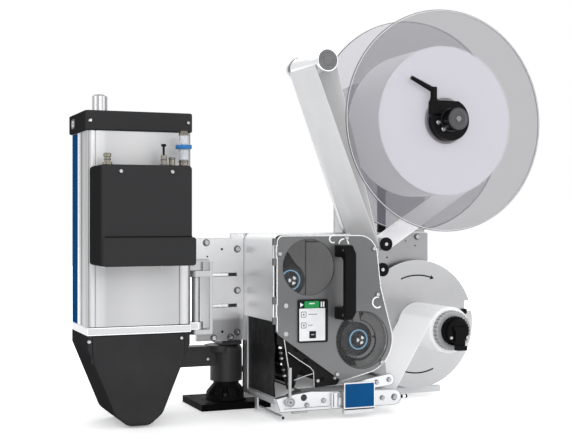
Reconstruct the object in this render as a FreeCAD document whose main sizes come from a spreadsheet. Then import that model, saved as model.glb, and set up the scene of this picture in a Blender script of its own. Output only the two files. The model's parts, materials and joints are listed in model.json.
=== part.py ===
import FreeCAD, Part

import math
import os
import re

import Sketcher

# Case labelling machine on a swivel stand, in millimetres.
# X runs to the right along the front, Y into the depth, Z up.
# The origin is the centre of the base plate's underside.

SIZES = {
    # Stand
    "base_width": 132, "base_depth": 120, "base_thickness": 12,
    "base_hole_radius": 4.5, "base_hole_side": 14, "base_hole_end": 10,
    "flange_radius": 37, "flange_thickness": 8, "neck_radius": 23.5,
    "gusset_height": 29, "gusset_thickness": 15, "collar_bottom": 46,
    "collar_radius": 29.5, "collar_height": 24.5, "head_height": 43, "dome_round": 12,
    "spindle_radius": 16, "spindle_reach": 28, "running_gap": 0.05, "seat_gap": 0.3,
    "arm_reach": 175, "arm_height": 36, "arm_depth": 30, "rest_radius": 8,
    # Frame panel and slide plate
    "panel_left": 20, "panel_right": 401, "panel_bottom": 18, "panel_top": 316.5,
    "panel_front": -42, "panel_thickness": 8,
    "rail_left": 314, "rail_right": 429, "rail_bottom": 5, "rail_top": 17,
    "slide_left": -71, "slide_bottom": 122.5, "slide_top": 308, "slide_thickness": 6,
    "slot_low": 186, "slot_high": 242, "slot_left": -44, "slot_length": 50, "slot_width": 6,
    "angle_thickness": 6, "angle_width": 80, "angle_rise": 150, "foot_width": 38,
    # Rear housing
    "housing_left": 60, "housing_right": 372, "housing_bottom": 40, "housing_top": 268,
    "housing_depth": 90, "housing_radius": 14, "inlet_width": 48, "inlet_height": 28,
    # Printing unit covers and door
    "cover_wall": 2, "cover_bottom": 168, "cover_front": -188, "cover_top_right": 165,
    "cover_radius": 12, "door_left": 24, "door_top": 314.5, "door_front": -194,
    "door_thickness": 4, "door_shoulder": 211, "door_waist": 221.5, "door_waist_height": 222,
    "door_rim": 59.6, "door_toe": 146, "door_toe_height": 60.8, "door_heel_height": 148,
    "upper_window_x": 83, "upper_window_z": 260, "upper_window_radius": 48.5,
    "lower_window_x": 184.7, "lower_window_z": 131.2, "lower_window_radius": 50.5,
    "window_thickness": 3, "hinge_x": 20.1, "hinge_radius": 3.6, "hinge_pin_radius": 1.8,
    "hinge_length": 22, "hinge_low": 176, "hinge_high": 276,
    "handle_x": 131, "handle_width": 21, "handle_low": 170, "handle_high": 298,
    "handle_reach": 46, "handle_bar": 12, "handle_foot": 21,
    "display_x": 62.4, "display_z": 131, "display_width": 55, "display_height": 74,
    "display_depth": 4, "screen_inset": 3, "door_screw_radius": 4,
    # Print mechanism
    "bracket_thickness": 6, "platen_x": 66, "platen_z": 40, "platen_radius": 11,
    "ribbon_x": 60, "ribbon_z": 237, "takeup_x": 190, "takeup_z": 129,
    "ribbon_front": -172, "ribbon_core": 16, "ribbon_roll": 30, "ribbon_width": 110,
    "lever_x": 39, "lever_z": 34.6, "lever_length": 58, "lever_hub": 8.4, "lever_thickness": 7,
    # Lower arm and link
    "bar_rear": -200, "bar_thickness": 12, "bar_left": 15, "bar_end_x": 238, "bar_end_z": 31,
    "bar_end_radius": 13.5, "liner_roller_radius": 11, "plate_left": 135.7,
    "plate_width": 58.5, "plate_bottom": 18, "plate_height": 44.4, "plate_front": -224,
    "link_x": 158, "link_z": 50, "link_small": 8, "link_large": 10.5, "link_end_x": 234,
    "link_end_z": 60, "tube_x": 29, "tube_z": 8, "tube_radius": 4, "tube_front": -210,
    "tube_rear": -98,
    # Web rollers and dancer
    "roller_radius": 11.3, "roller_front": -189, "journal_radius": 5,
    "upper_roller_x": 235, "upper_roller_z": 298, "lower_roller_x": 228, "lower_roller_z": 253,
    "dancer_x": 118, "dancer_z": 617, "dancer_roller_radius": 20, "dancer_roller_front": -196,
    "pivot_radius": 10, "dancer_arm_rear": -50, "dancer_arm_thickness": 12,
    "dancer_arm_width": 26, "web_front": -183, "web_width": 115, "web_thickness": 0.6,
    # Supply reel
    "reel_x": 352, "reel_z": 520, "reel_radius": 200, "flange_wall": 3, "reel_front": -194,
    "reel_gap": 131, "roll_radius": 135, "core_radius": 38, "shaft_radius": 21, "nose_radius": 20,
    "shaft_front": -240, "collar_depth": 17, "clamp_radius": 37, "clamp_flat": 34,
    "clamp_lever_x": 321, "clamp_stem_radius": 6, "clamp_stem_height": 24,
    "clamp_arm_length": 50, "support_thickness": 6, "support_left": 205, "support_right": 398,
    "support_bottom": 270, "support_top": 600, "post_x": 294.5, "post_width": 13,
    "bearing_radius": 34,
    # Rewinder
    "rewind_x": 367.7, "rewind_z": 140.4, "rewind_radius": 123, "rewind_wall": 3,
    "liner_roll_radius": 42, "mandrel_radius": 25, "knob_radius": 23.5, "knob_depth": 18,
    "rewind_front": -214, "wing_width": 20, "wing_length": 33, "wing_pin": 1.5,
    # Applicator tower
    "tower_left": -294, "tower_right": -120, "tower_front": -170, "tower_rear": -46,
    "tower_bottom": 167, "tower_top": 486, "tower_wall": 5, "tower_corner": 9,
    "cap_height": 32, "cap_overhang": 5, "recess_length": 36, "band_height": 12.3, "tower_hinge_x": -98,
    "tower_hinge_y": -125, "tower_pin_radius": 7, "lug_radius": 12.5, "lug_height": 15,
    "upper_lug": 255, "lower_cover_height": 151.5, "lower_cover_wall": 3,
    "lower_cover_tip": 40, "lower_cover_shoulder": 20, "cover_edge": 8, "box_left": -291, "box_right": -143,
    "box_bottom": 269, "box_top": 427.4, "box_front": -254, "lip_height": 45,
    "lip_proud": 5, "rod_x": -258, "rod_y": -100, "rod_radius": 12.7, "rod_rise": 65,
    "fittings_y": -210, "plunger_x": -178.5, "plunger_body": 18, "bowl_x": -145,
    "bowl_radius": 8.5, "bowl_base": 11, "bowl_height": 46,
    # Applicator arm
    "swing_gap": 3, "swing_z": 45, "swing_length": 112, "swing_width": 28,
    "swing_thickness": 10, "pad_width": 60, "pad_height": 60, "pad_thickness": 12,
}

# The applicator arm swings just clear of the swivel arm's end.
SWING_X = "(0 - arm_reach - arm_depth / 2 - swing_gap - swing_width / 2)"

document = FreeCAD.newDocument("CaseLabellingMachine")
sheet = document.addObject("Spreadsheet::Sheet", "Sizes")
for row, (alias, size) in enumerate(SIZES.items(), start=1):
    sheet.set(f"A{row}", alias)
    sheet.set(f"B{row}", str(size))
    sheet.setAlias(f"B{row}", alias)
document.recompute()

nodes = []


# Formulas and placing

def formula(words):
    """The words with each named size written as a reference to its cell."""
    def reference(match):
        word = match.group(0)
        return "Sizes." + word if word in SIZES else word
    return re.sub(r"[A-Za-z_]\w*", reference, words)


def number(words):
    """The present value of a formula."""
    return float(sheet.evalExpression(formula(words)))


def bind(thing, name, words):
    thing.setExpression(name, formula(words))


def place(thing, x="0", y="0", z="0"):
    for side, words in zip("xyz", (x, y, z)):
        if words != "0":
            bind(thing, "Placement.Base." + side, words)


def keep(thing, label):
    """Makes an object one of the machine's sub-parts."""
    thing.Label = label
    nodes.append(thing)
    return thing


# Part primitives

AXIS_TURNS = {
    "x": FreeCAD.Rotation(FreeCAD.Vector(0, 1, 0), 90),
    "y": FreeCAD.Rotation(FreeCAD.Vector(1, 0, 0), -90),
    "z": FreeCAD.Rotation(),
}


def box(x, y, z, length, width, height):
    made = document.addObject("Part::Box", "Block")
    bind(made, "Length", length)
    bind(made, "Width", width)
    bind(made, "Height", height)
    place(made, x, y, z)
    return made


def rod(axis, x, y, z, radius, length):
    made = document.addObject("Part::Cylinder", "Rod")
    made.Placement = FreeCAD.Placement(FreeCAD.Vector(), AXIS_TURNS[axis])
    bind(made, "Radius", radius)
    bind(made, "Height", length)
    place(made, x, y, z)
    return made


def cone(axis, x, y, z, start_radius, end_radius, length):
    made = document.addObject("Part::Cone", "Taper")
    made.Placement = FreeCAD.Placement(FreeCAD.Vector(), AXIS_TURNS[axis])
    bind(made, "Radius1", start_radius)
    bind(made, "Radius2", end_radius)
    bind(made, "Height", length)
    place(made, x, y, z)
    return made


def fuse(*pieces):
    made = document.addObject("Part::MultiFuse", "Joined")
    made.Shapes = list(pieces)
    made.Refine = True
    return made


def cut(base, *tools):
    made = document.addObject("Part::Cut", "Trimmed")
    made.Base = base
    made.Tool = tools[0] if len(tools) == 1 else fuse(*tools)
    return made


def group(*pieces):
    """Alike pieces that share one node, each a solid of its own."""
    made = document.addObject("Part::Compound", "Group")
    made.Links = list(pieces)
    return made


# Bodies, sketches and features

def new_body(label, x="0", y="0", z="0"):
    body = document.addObject("PartDesign::Body", label)
    place(body, x, y, z)
    return keep(body, label)


def new_sketch(body, plane, offset="0"):
    sketch = body.newObject("Sketcher::SketchObject", body.Name + "_sketch")
    face = next(item for item in body.Origin.OriginFeatures if item.Role == plane)
    sketch.AttachmentSupport = [(face, "")]
    sketch.MapMode = "FlatFace"
    if offset != "0":
        bind(sketch, "AttachmentOffset.Base.z", offset)
    return sketch


def pin_point(sketch, item, point, x, y):
    """Holds a point of the sketch at two formulas from the sketch's origin."""
    for kind, words in (("DistanceX", x), ("DistanceY", y)):
        rule = Sketcher.Constraint(kind, -1, 1, item, point, number(words))
        index = sketch.addConstraint(rule)
        bind(sketch, f"Constraints[{index}]", words)


def draw_outline(sketch, corners):
    spots = [FreeCAD.Vector(number(x), number(y), 0) for x, y in corners]
    first = len(sketch.Geometry)
    count = len(corners)
    for index in range(count):
        line = Part.LineSegment(spots[index], spots[(index + 1) % count])
        sketch.addGeometry(line)
    for index in range(count):
        after = first + (index + 1) % count
        sketch.addConstraint(Sketcher.Constraint("Coincident", first + index, 2, after, 1))
    for index, (x, y) in enumerate(corners):
        pin_point(sketch, first + index, 1, x, y)


def draw_circle(sketch, x, y, radius):
    centre = FreeCAD.Vector(number(x), number(y), 0)
    circle = Part.Circle(centre, FreeCAD.Vector(0, 0, 1), number(radius))
    item = sketch.addGeometry(circle)
    index = sketch.addConstraint(Sketcher.Constraint("Radius", item, number(radius)))
    bind(sketch, f"Constraints[{index}]", radius)
    pin_point(sketch, item, 3, x, y)


def pad(body, sketch, length):
    made = body.newObject("PartDesign::Pad", body.Name + "_pad")
    made.Profile = sketch
    bind(made, "Length", length)
    return made


def pocket(body, sketch, depth=None):
    """A cut along the sketch's normal, or right through both ways without a depth."""
    made = body.newObject("PartDesign::Pocket", body.Name + "_pocket")
    made.Profile = sketch
    if depth is None:
        made.Type = 1
        made.Midplane = True
    else:
        made.Reversed = True
        bind(made, "Length", depth)
    return made


def plate(label, plane, corners, offset, thickness):
    """A plate from an outline; on XZ_Plane it grows towards the front."""
    body = new_body(label)
    sketch = new_sketch(body, plane, offset)
    draw_outline(sketch, corners)
    pad(body, sketch, thickness)
    return body


def holes(body, plane, circles):
    sketch = new_sketch(body, plane)
    for x, y, radius in circles:
        draw_circle(sketch, x, y, radius)
    return pocket(body, sketch)


def edge_names(shape, along, spots):
    """Names of the straight edges along an axis that stand at the given spots."""
    across = [side for side in range(3) if side != "xyz".index(along)]
    found = []
    for index, edge in enumerate(shape.Edges, start=1):
        ends = [vertex.Point for vertex in edge.Vertexes]
        if len(ends) != 2:
            continue
        for spot in spots:
            if all(abs(end[side] - value) < 0.01 for end in ends for side, value in zip(across, spot)):
                found.append(f"Edge{index}")
    return found


def round_edges(body, along, spots, radius):
    document.recompute()
    base = body.Tip
    values = [(number(first), number(second)) for first, second in spots]
    made = body.newObject("PartDesign::Fillet", body.Name + "_fillet")
    made.Base = (base, edge_names(base.Shape, along, values))
    bind(made, "Radius", radius)
    return made


def round_front(body, front, top, radius):
    """Rounds the rim of the front face, but for its edge along the top."""
    document.recompute()
    base = body.Tip
    names = []
    for index, edge in enumerate(base.Shape.Edges, start=1):
        ends = [vertex.Point for vertex in edge.Vertexes]
        level = all(abs(end.z - number(top)) < 0.01 for end in ends)
        if not level and all(abs(end.y - number(front)) < 0.01 for end in ends):
            names.append(f"Edge{index}")
    made = body.newObject("PartDesign::Fillet", body.Name + "_rim")
    made.Base = (base, names)
    bind(made, "Radius", radius)


def pattern_round(body, feature, role, count):
    """Repeats a feature evenly about one of the body's axes."""
    made = body.newObject("PartDesign::PolarPattern", body.Name + "_pattern")
    made.Originals = [feature]
    made.Axis = (next(item for item in body.Origin.OriginFeatures if item.Role == role), [""])
    made.Angle = 360
    made.Occurrences = count
    body.Tip = made


def turned(label, axis, x, y, z, profile):
    """A turned piece: its profile holds radius and distance along the axis."""
    body = new_body(label, x, y, z)
    sketch = new_sketch(body, "XZ_Plane" if axis == "z" else "XY_Plane")
    draw_outline(sketch, profile)
    made = body.newObject("PartDesign::Revolution", body.Name + "_turn")
    made.Profile = sketch
    made.ReferenceAxis = (sketch, ["V_Axis"])
    made.Angle = 360
    return body


# Stand

def base_plate():
    half_width = "base_width / 2"
    half_depth = "base_depth / 2"
    corners = [(f"-{half_width}", f"-{half_depth}"), (half_width, f"-{half_depth}"),
               (half_width, half_depth), (f"-{half_width}", half_depth)]
    body = plate("base_plate", "XY_Plane", corners, "0", "base_thickness")
    hole_x = f"({half_width} - base_hole_side)"
    hole_y = f"({half_depth} - base_hole_end)"
    spots = [(f"{side}{hole_x}", f"{end}{hole_y}", "base_hole_radius")
             for side in ("-", "") for end in ("-", "")]
    holes(body, "XY_Plane", spots)
    round_edges(body, "z", corners, "cover_wall")


def base_flange():
    """The flanged foot with its neck and gussets, and the spindle the head turns on."""
    profile = [("0", "0"), ("flange_radius", "0"), ("flange_radius", "flange_thickness"),
               ("neck_radius", "flange_thickness"), ("neck_radius", "collar_bottom - base_thickness"),
               ("spindle_radius", "collar_bottom - base_thickness"),
               ("spindle_radius", "collar_bottom - base_thickness + collar_height + spindle_reach"),
               ("0", "collar_bottom - base_thickness + collar_height + spindle_reach")]
    body = turned("base_flange", "z", "0", "0", "base_thickness", profile)
    rib = new_sketch(body, "XZ_Plane", "-gusset_thickness / 2")
    draw_outline(rib, [("neck_radius - 2", "flange_thickness - 1"),
                       ("flange_radius - 1", "flange_thickness - 1"),
                       ("flange_radius - 1", "flange_thickness * 1.6"),
                       ("neck_radius - 2", "gusset_height")])
    web = pad(body, rib, "gusset_thickness")
    pattern_round(body, web, "Z_Axis", 8)


def turret_collar():
    """The clamp ring between the foot and the head, with its clamp screw."""
    ring = cut(rod("z", "0", "0", "collar_bottom", "collar_radius", "collar_height"),
               rod("z", "0", "0", "collar_bottom", "spindle_radius", "collar_height"))
    stub = rod("x", "collar_radius - 2", "0", "collar_bottom + collar_height * 0.75", "5", "8")
    keep(fuse(ring, stub), "turret_collar")


def swivel_head():
    """The turning head, cast with the arm that reaches behind the tower and its rest."""
    floor = "(collar_bottom + collar_height)"
    dome = [(f"collar_radius - dome_round * (1 - cos({angle}))",
             f"head_height - dome_round * (1 - sin({angle}))")
            for angle in range(0, 91, 15)]
    profile = [("spindle_radius + running_gap", "0"), ("collar_radius", "0"), *dome, ("0", "head_height"),
               ("0", "spindle_reach + seat_gap"),
               ("spindle_radius + running_gap", "spindle_reach + seat_gap")]
    body = turned("swivel_head", "z", "0", "0", floor, profile)
    root = "-(spindle_radius + collar_radius) / 2 - 1"
    shoulder = new_sketch(body, "XY_Plane", "spindle_reach + seat_gap + 1")
    draw_circle(shoulder, "-dome_round", "0", "collar_radius - 1")
    pad(body, shoulder, "head_height - spindle_reach - seat_gap - 3")
    bar = new_sketch(body, "XY_Plane", "4")
    draw_outline(bar, [("-arm_reach", "-arm_depth / 2"), (root, "-arm_depth / 2"),
                       (root, "arm_depth / 2"), ("-arm_reach", "arm_depth / 2")])
    pad(body, bar, "arm_height")
    tip = new_sketch(body, "XY_Plane", "4")
    draw_circle(tip, "-arm_reach", "0", "arm_depth / 2")
    pad(body, tip, "arm_height")
    rest = new_sketch(body, "XZ_Plane", "0")
    draw_circle(rest, "-arm_reach", "4 + arm_height / 2", "rest_radius")
    pad(body, rest, "0 - (tower_rear + seat_gap)")


def mounting_angle():
    """The angle that stands on the head and carries both plates from behind."""
    seat = "collar_bottom + collar_height + head_height"
    rear = "(panel_front + panel_thickness)"
    foot = box("-foot_width / 2", rear, seat, "foot_width", f"collar_radius - 4 - {rear}",
               "angle_thickness")
    neck = box("-foot_width / 2", rear, seat, "foot_width", "angle_thickness", "angle_rise")
    leg = box("-angle_width / 2", rear, "slide_bottom", "angle_width", "angle_thickness",
              f"{seat} + angle_rise - slide_bottom")
    pack = box("-angle_width / 2", "panel_front + slide_thickness", "slide_bottom",
               "angle_width / 2 + panel_left - seat_gap", "panel_thickness - slide_thickness",
               f"{seat} + angle_rise - slide_bottom")
    keep(fuse(foot, neck, leg, pack), "mounting_angle")


# Frame panel and slide plate

def back_plate():
    corners = [("panel_left", "panel_bottom"), ("rail_left", "panel_bottom"), ("rail_left", "rail_bottom"),
               ("rail_right", "rail_bottom"), ("rail_right", "rail_top"), ("panel_right", "rail_top"),
               ("panel_right", "panel_top"), ("panel_left", "panel_top")]
    body = plate("back_plate", "XZ_Plane", corners, "-(panel_front + panel_thickness)", "panel_thickness")
    journal = "journal_radius + running_gap"
    spots = [("upper_roller_x", "upper_roller_z", "pivot_radius + running_gap"),
             ("lower_roller_x", "lower_roller_z", journal),
             ("bar_end_x", "bar_end_z", journal), ("platen_x", "platen_z", journal),
             ("ribbon_x", "ribbon_z", journal),
             ("takeup_x", "takeup_z", journal), ("rewind_x", "rewind_z", journal)]
    holes(body, "XZ_Plane", spots)
    round_edges(body, "y", [("panel_right", "panel_top")], "cover_wall * 2")


def applicator_plate():
    """The slotted plate that the tower's hinge is bolted to."""
    right = "panel_left - seat_gap"
    tab = "(panel_left - 25)"
    corners = [("slide_left", "slide_bottom"), (right, "slide_bottom"), (right, "panel_top"),
               (tab, "panel_top"), (tab, "slide_top"), ("slide_left", "slide_top")]
    body = plate("applicator_plate", "XZ_Plane", corners, "-(panel_front + slide_thickness)",
                 "slide_thickness")
    for height in ("slot_low", "slot_high"):
        slot = new_sketch(body, "XZ_Plane")
        draw_outline(slot, [("slot_left", f"{height} - slot_width / 2"),
                            ("slot_left + slot_length", f"{height} - slot_width / 2"),
                            ("slot_left + slot_length", f"{height} + slot_width / 2"),
                            ("slot_left", f"{height} + slot_width / 2")])
        pocket(body, slot)
    round_edges(body, "y", [("slide_left", "slide_bottom"), ("slide_left", "slide_top")], "slot_width / 2")


def screw_heads(spots, face, radius, height):
    """Button heads that stand on a face towards the front."""
    return [rod("y", x, f"{face} - {height}", z, radius, height) for x, z in spots]


def frame_screws():
    plate_spots = [("slide_left + 19", "slide_top - 8"), ("panel_left - 13", "slide_top - 20"),
                   ("panel_left - 13", "slot_low + 27"), ("panel_left - 13", "slide_bottom + 15"),
                   ("slide_left + 33", "slide_bottom + 6"), ("panel_left - 26", "slide_bottom + 6"),
                   ("panel_right - 24", "panel_top - 8.5")]
    link_spots = [("link_end_x", "link_end_z"), ("link_x + 52", "link_end_z - 3")]
    heads = screw_heads(plate_spots, "panel_front", "4.5", "3")
    heads += screw_heads(link_spots, "bar_rear", "4", "2.5")
    heads += screw_heads([("bar_end_x", "bar_end_z"), ("platen_x + 6", "bar_end_z - 4")],
                         "bar_rear - bar_thickness", "4.5", "2.5")
    keep(group(*heads), "frame_screws")


def rear_housing():
    corners = [("housing_left", "housing_bottom"), ("housing_right", "housing_bottom"),
               ("housing_right", "housing_top"), ("housing_left", "housing_top")]
    rear = "panel_front + panel_thickness"
    body = plate("rear_housing", "XZ_Plane", corners, f"-({rear} + housing_depth)", "housing_depth")
    round_edges(body, "y", corners, "housing_radius")
    room = new_sketch(body, "XZ_Plane", f"-({rear} + housing_depth - cover_wall)")
    draw_outline(room, [("housing_left + cover_wall", "housing_bottom + cover_wall"),
                        ("housing_right - cover_wall", "housing_bottom + cover_wall"),
                        ("housing_right - cover_wall", "housing_top - cover_wall"),
                        ("housing_left + cover_wall", "housing_top - cover_wall")])
    hollow = pocket(body, room, "housing_depth")
    hollow.Reversed = True
    for index in range(9):
        slit = new_sketch(body, "XZ_Plane", f"-({rear} + housing_depth)")
        left = f"housing_left + 90 + {index} * 14"
        draw_outline(slit, [(left, "housing_top - 60"), (f"{left} + 6", "housing_top - 60"),
                            (f"{left} + 6", "housing_top - 20"), (left, "housing_top - 20")])
        vent = pocket(body, slit, "cover_wall * 2")
        vent.Reversed = True


def power_inlet():
    """The appliance inlet on the back, with its three blades."""
    rear = "panel_front + panel_thickness + housing_depth"
    left = "housing_left + 30"
    low = "housing_bottom + 20"
    shell = box(left, rear, low, "inlet_width", "8", "inlet_height")
    mouth = box(f"{left} + 10", f"{rear} + 2", f"{low} + 6", "inlet_width - 20", "7", "inlet_height - 12")
    blades = [box(f"{left} + 15 + {index} * 7", f"{rear} + 1.5", f"{low} + 9", "3", "5",
                  "inlet_height - 18")
              for index in range(3)]
    keep(fuse(cut(shell, mouth), *blades), "power_inlet")


# Printing unit covers

def side_cover():
    inner = "panel_left + cover_wall"
    roof = "panel_top - cover_wall"
    corners = [("panel_left", "cover_bottom"), (inner, "cover_bottom"), (inner, roof),
               ("cover_top_right", roof),
               ("cover_top_right", "panel_top"), ("panel_left", "panel_top")]
    body = plate("side_cover", "XZ_Plane", corners, "-panel_front", "panel_front - cover_front")
    round_edges(body, "y", [("panel_left", "panel_top")], "cover_radius")
    round_edges(body, "y", [(inner, roof)], "cover_radius - cover_wall")


def lower_frame():
    """The angle strip under the side cover that carries the peel edge and the lower bar."""
    corners = [("panel_front", "cover_bottom - seat_gap"), ("panel_front - 18", "cover_bottom - seat_gap"),
               ("panel_front - 18", "bar_end_z + 6"), ("bar_rear", "bar_end_z + 6"),
               ("bar_rear", "bar_end_z - 3"), ("panel_front", "bar_end_z - 3")]
    plate("lower_frame", "YZ_Plane", corners, "panel_left", "cover_wall + 1")


def path_guard():
    """The dark guard inside the lower frame, with its wavy front edge."""
    left = "panel_left + cover_wall + 1"
    corners = [("panel_front - 8", "bar_end_z + 8"), ("panel_front - 8", "cover_bottom - 2"),
               ("cover_front + 5", "cover_bottom - 2")]
    steps = 6
    for index in range(1, steps):
        share = index / steps
        bulge = 4 if index % 2 else 0
        corners.append((f"cover_front + 5 + {bulge}",
                        f"cover_bottom - 2 - {share} * (cover_bottom - 10 - bar_end_z)"))
    corners.append(("cover_front + 5", "bar_end_z + 8"))
    plate("path_guard", "YZ_Plane", corners, left, "cover_wall + 1")


# Door

def door_outline():
    """The door's straight sides; the lower right bulge is a round about the lower window."""
    rise = "(door_waist_height - lower_window_z)"
    run = "(door_waist - lower_window_x)"
    turn = f"(atan({rise} / {run}) - acos(door_rim / sqrt({rise} ^ 2 + {run} ^ 2)))"
    touch = (f"lower_window_x + door_rim * cos({turn})", f"lower_window_z + door_rim * sin({turn})")
    return [("door_left", "door_heel_height"), ("door_left", "door_top"), ("door_shoulder", "door_top"),
            ("door_waist", "door_waist_height"), touch, ("lower_window_x", "lower_window_z"),
            ("lower_window_x + door_rim * 0.23", "lower_window_z - door_rim * 0.973"),
            ("door_toe", "door_toe_height")]


def door_panel():
    rear = "(door_front + door_thickness)"
    body = plate("door_panel", "XZ_Plane", door_outline(), f"-{rear}", "door_thickness")
    bulge = new_sketch(body, "XZ_Plane", f"-{rear}")
    draw_circle(bulge, "lower_window_x", "lower_window_z", "door_rim")
    pad(body, bulge, "door_thickness")
    for height in ("hinge_low", "hinge_high"):
        knuckle = new_sketch(body, "XY_Plane", height)
        draw_circle(knuckle, "hinge_x", f"{rear} - 2", "hinge_radius")
        pad(body, knuckle, "hinge_length")
        leaf = new_sketch(body, "XY_Plane", height)
        draw_outline(leaf, [("hinge_x", f"{rear} - door_thickness"),
                            ("door_left + 1", f"{rear} - door_thickness"),
                            ("door_left + 1", rear), ("hinge_x", rear)])
        pad(body, leaf, "hinge_length")
        bore = new_sketch(body, "XY_Plane", height)
        draw_circle(bore, "hinge_x", f"{rear} - 2", "hinge_pin_radius + running_gap")
        pocket(body, bore, "hinge_length")
    spots = [("upper_window_x", "upper_window_z", "upper_window_radius"),
             ("lower_window_x", "lower_window_z", "lower_window_radius")]
    holes(body, "XZ_Plane", spots)
    round_edges(body, "y", [("door_left", "door_top"), ("door_left", "door_heel_height")],
                "door_thickness * 3")
    round_edges(body, "y", [("door_shoulder", "door_top")], "door_thickness * 9")
    round_edges(body, "y", [("door_toe", "door_toe_height")], "door_thickness")


def door_hinges():
    """Hinge pins with the fixed knuckles, on the side cover's front edge."""
    pieces = []
    axis_y = "door_front + door_thickness - 2"
    for height in ("hinge_low", "hinge_high"):
        pieces.append(rod("z", "hinge_x", axis_y, f"{height} - 12", "hinge_pin_radius",
                          "hinge_length + 24"))
        for low in (f"{height} - 12", f"{height} + hinge_length + seat_gap"):
            pieces.append(rod("z", "hinge_x", axis_y, low, "hinge_radius", "12 - seat_gap"))
            pieces.append(box("panel_left", axis_y, low, "cover_wall", f"cover_front - ({axis_y})",
                              "12 - seat_gap"))
    keep(fuse(*pieces), "door_hinges")


def door_windows():
    rear = "door_front + door_thickness - window_thickness - 0.5"
    panes = []
    for name in ("upper_window", "lower_window"):
        panes.append(rod("y", f"{name}_x", rear, f"{name}_z", f"{name}_radius", "window_thickness"))
    keep(group(*panes), "door_windows")


def door_handle():
    """The angular grip: two feet and a bar with cut corners."""
    face = "door_front"
    front = "(door_front - handle_reach)"
    inner = f"({front} + handle_bar)"
    corners = [(face, "handle_high"), (f"{front} + 14", "handle_high"), (front, "handle_high - 14"),
               (front, "handle_low + 14"), (f"{front} + 14", "handle_low"), (face, "handle_low"),
               (face, "handle_low + handle_foot"), (f"{inner} + 6", "handle_low + handle_foot"),
               (inner, "handle_low + handle_foot + 6"), (inner, "handle_high - handle_foot - 6"),
               (f"{inner} + 6", "handle_high - handle_foot"), (face, "handle_high - handle_foot")]
    plate("door_handle", "YZ_Plane", corners, "handle_x", "handle_width")


def display():
    right = "display_x + display_width"
    top = "display_z + display_height"
    corners = [("display_x", "display_z"), (right, "display_z"), (right, top), ("display_x", top)]
    body = plate("display", "XZ_Plane", corners, "-door_front", "display_depth")
    screen = new_sketch(body, "XZ_Plane", "-(door_front - display_depth)")
    draw_outline(screen, [("display_x + screen_inset", "display_z + screen_inset"),
                          (f"{right} - screen_inset - 2", "display_z + screen_inset"),
                          (f"{right} - screen_inset - 2", f"{top} - screen_inset"),
                          ("display_x + screen_inset", f"{top} - screen_inset")])
    cut_in = pocket(body, screen, "0.8")
    cut_in.Reversed = False
    round_edges(body, "y", corners, "screen_inset")


def door_screws():
    spots = [("door_left + 5", "door_top - 31"), ("door_shoulder - 57", "door_top - 5"),
             ("door_shoulder - 4", "door_top - 24"), ("door_waist - 7", "door_waist_height - 12"),
             ("door_toe - 10", "door_toe_height + 13"), ("lower_window_x + 37.7", "lower_window_z - 40.5"),
             ("display_x - 21.5", "display_z + 64"), ("display_x - 21.5", "display_z + 16")]
    heads = screw_heads(spots, "door_front", "door_screw_radius", "2")
    keep(group(*heads), "door_screws")


# Print mechanism

def bracket_outline():
    return [("door_left + 3", "door_heel_height + 4"), ("door_toe - 2", "door_toe_height + 1.5"),
            ("door_toe - 8", "door_toe_height - 6"), ("platen_x + 32", "platen_z + 12"),
            ("platen_x + 27", "platen_z + 41"), ("platen_x + 18", "platen_z + 49"),
            ("door_left + 22", "door_heel_height - 34"), ("door_left + 3", "door_heel_height - 18")]


def printhead_bracket():
    rear = "door_front + door_thickness + seat_gap + bracket_thickness"
    plate("printhead_bracket", "XZ_Plane", bracket_outline(), f"-({rear})", "bracket_thickness")


def print_unit():
    """The printing unit's body from the bracket back to the panel, with the print head."""
    front = "(door_front + door_thickness + seat_gap + bracket_thickness)"
    corners = [("door_left + 5", "door_heel_height"), ("door_toe - 12", "door_toe_height + 6"),
               ("platen_x + 38", "platen_z + 22"), ("platen_x + 30", "platen_z + 44"),
               ("platen_x + 20", "platen_z + 54"), ("platen_x + 2", "platen_z + 37"),
               ("platen_x - 6", "platen_z + platen_radius + 2"), ("platen_x - 22", "platen_z + 34"),
               ("door_left + 8", "door_heel_height - 30")]
    plate("print_unit", "XZ_Plane", corners, "-panel_front", f"panel_front - {front}")


def journal_roller(label, x, z, radius, front, rear):
    """A roller with a turned end recess and a journal that runs in the panel."""
    back = f"(panel_front + panel_thickness - ({front}))"
    body_end = f"({rear} - ({front}))"
    profile = [("0", "1.5"), (f"{radius} * 0.35", "1.5"), (f"{radius} * 0.35", "0"),
               (f"{radius} - 1.5", "0"),
               (radius, "1.5"), (radius, body_end), ("journal_radius", body_end), ("journal_radius", back),
               ("0", back)]
    turned(label, "y", x, front, z, profile)


def ribbon_spindle(label, x, z):
    """A ribbon roll on its core and spindle, with three drive wings on the nose."""
    front = "ribbon_front"
    back = "(panel_front + panel_thickness - ribbon_front)"
    profile = [("0", "0"), ("ribbon_core * 0.5", "0"), ("ribbon_core * 0.55", "6"),
               ("ribbon_core - 2", "6"),
               ("ribbon_core - 2", "8"), ("ribbon_core", "8"), ("ribbon_core", "12"), ("ribbon_roll", "12"),
               ("ribbon_roll", "12 + ribbon_width"), ("journal_radius", "12 + ribbon_width"),
               ("journal_radius", back), ("0", back)]
    body = turned(label, "y", x, front, z, profile)
    wing = new_sketch(body, "XZ_Plane", "-6")
    draw_outline(wing, [("0", "-1.5"), ("ribbon_core - 3", "-1.5"), ("ribbon_core - 3", "1.5"),
                        ("0", "1.5")])
    fin = pad(body, wing, "5")
    pattern_round(body, fin, "Y_Axis", 3)


def head_lever():
    """The lever that presses and frees the print head."""
    front = "bar_rear - bar_thickness - seat_gap - lever_thickness"
    hub = rod("y", "lever_x", front, "lever_z", "lever_hub", "lever_thickness")
    stem = cone("z", "lever_x", f"{front} + lever_thickness / 2", "lever_z", "2.6", "3.4", "lever_length")
    pin = rod("y", "lever_x", f"{front} + lever_thickness", "lever_z", "journal_radius - 1",
              "bar_thickness - 2")
    keep(fuse(hub, stem, pin), "head_lever")


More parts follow.
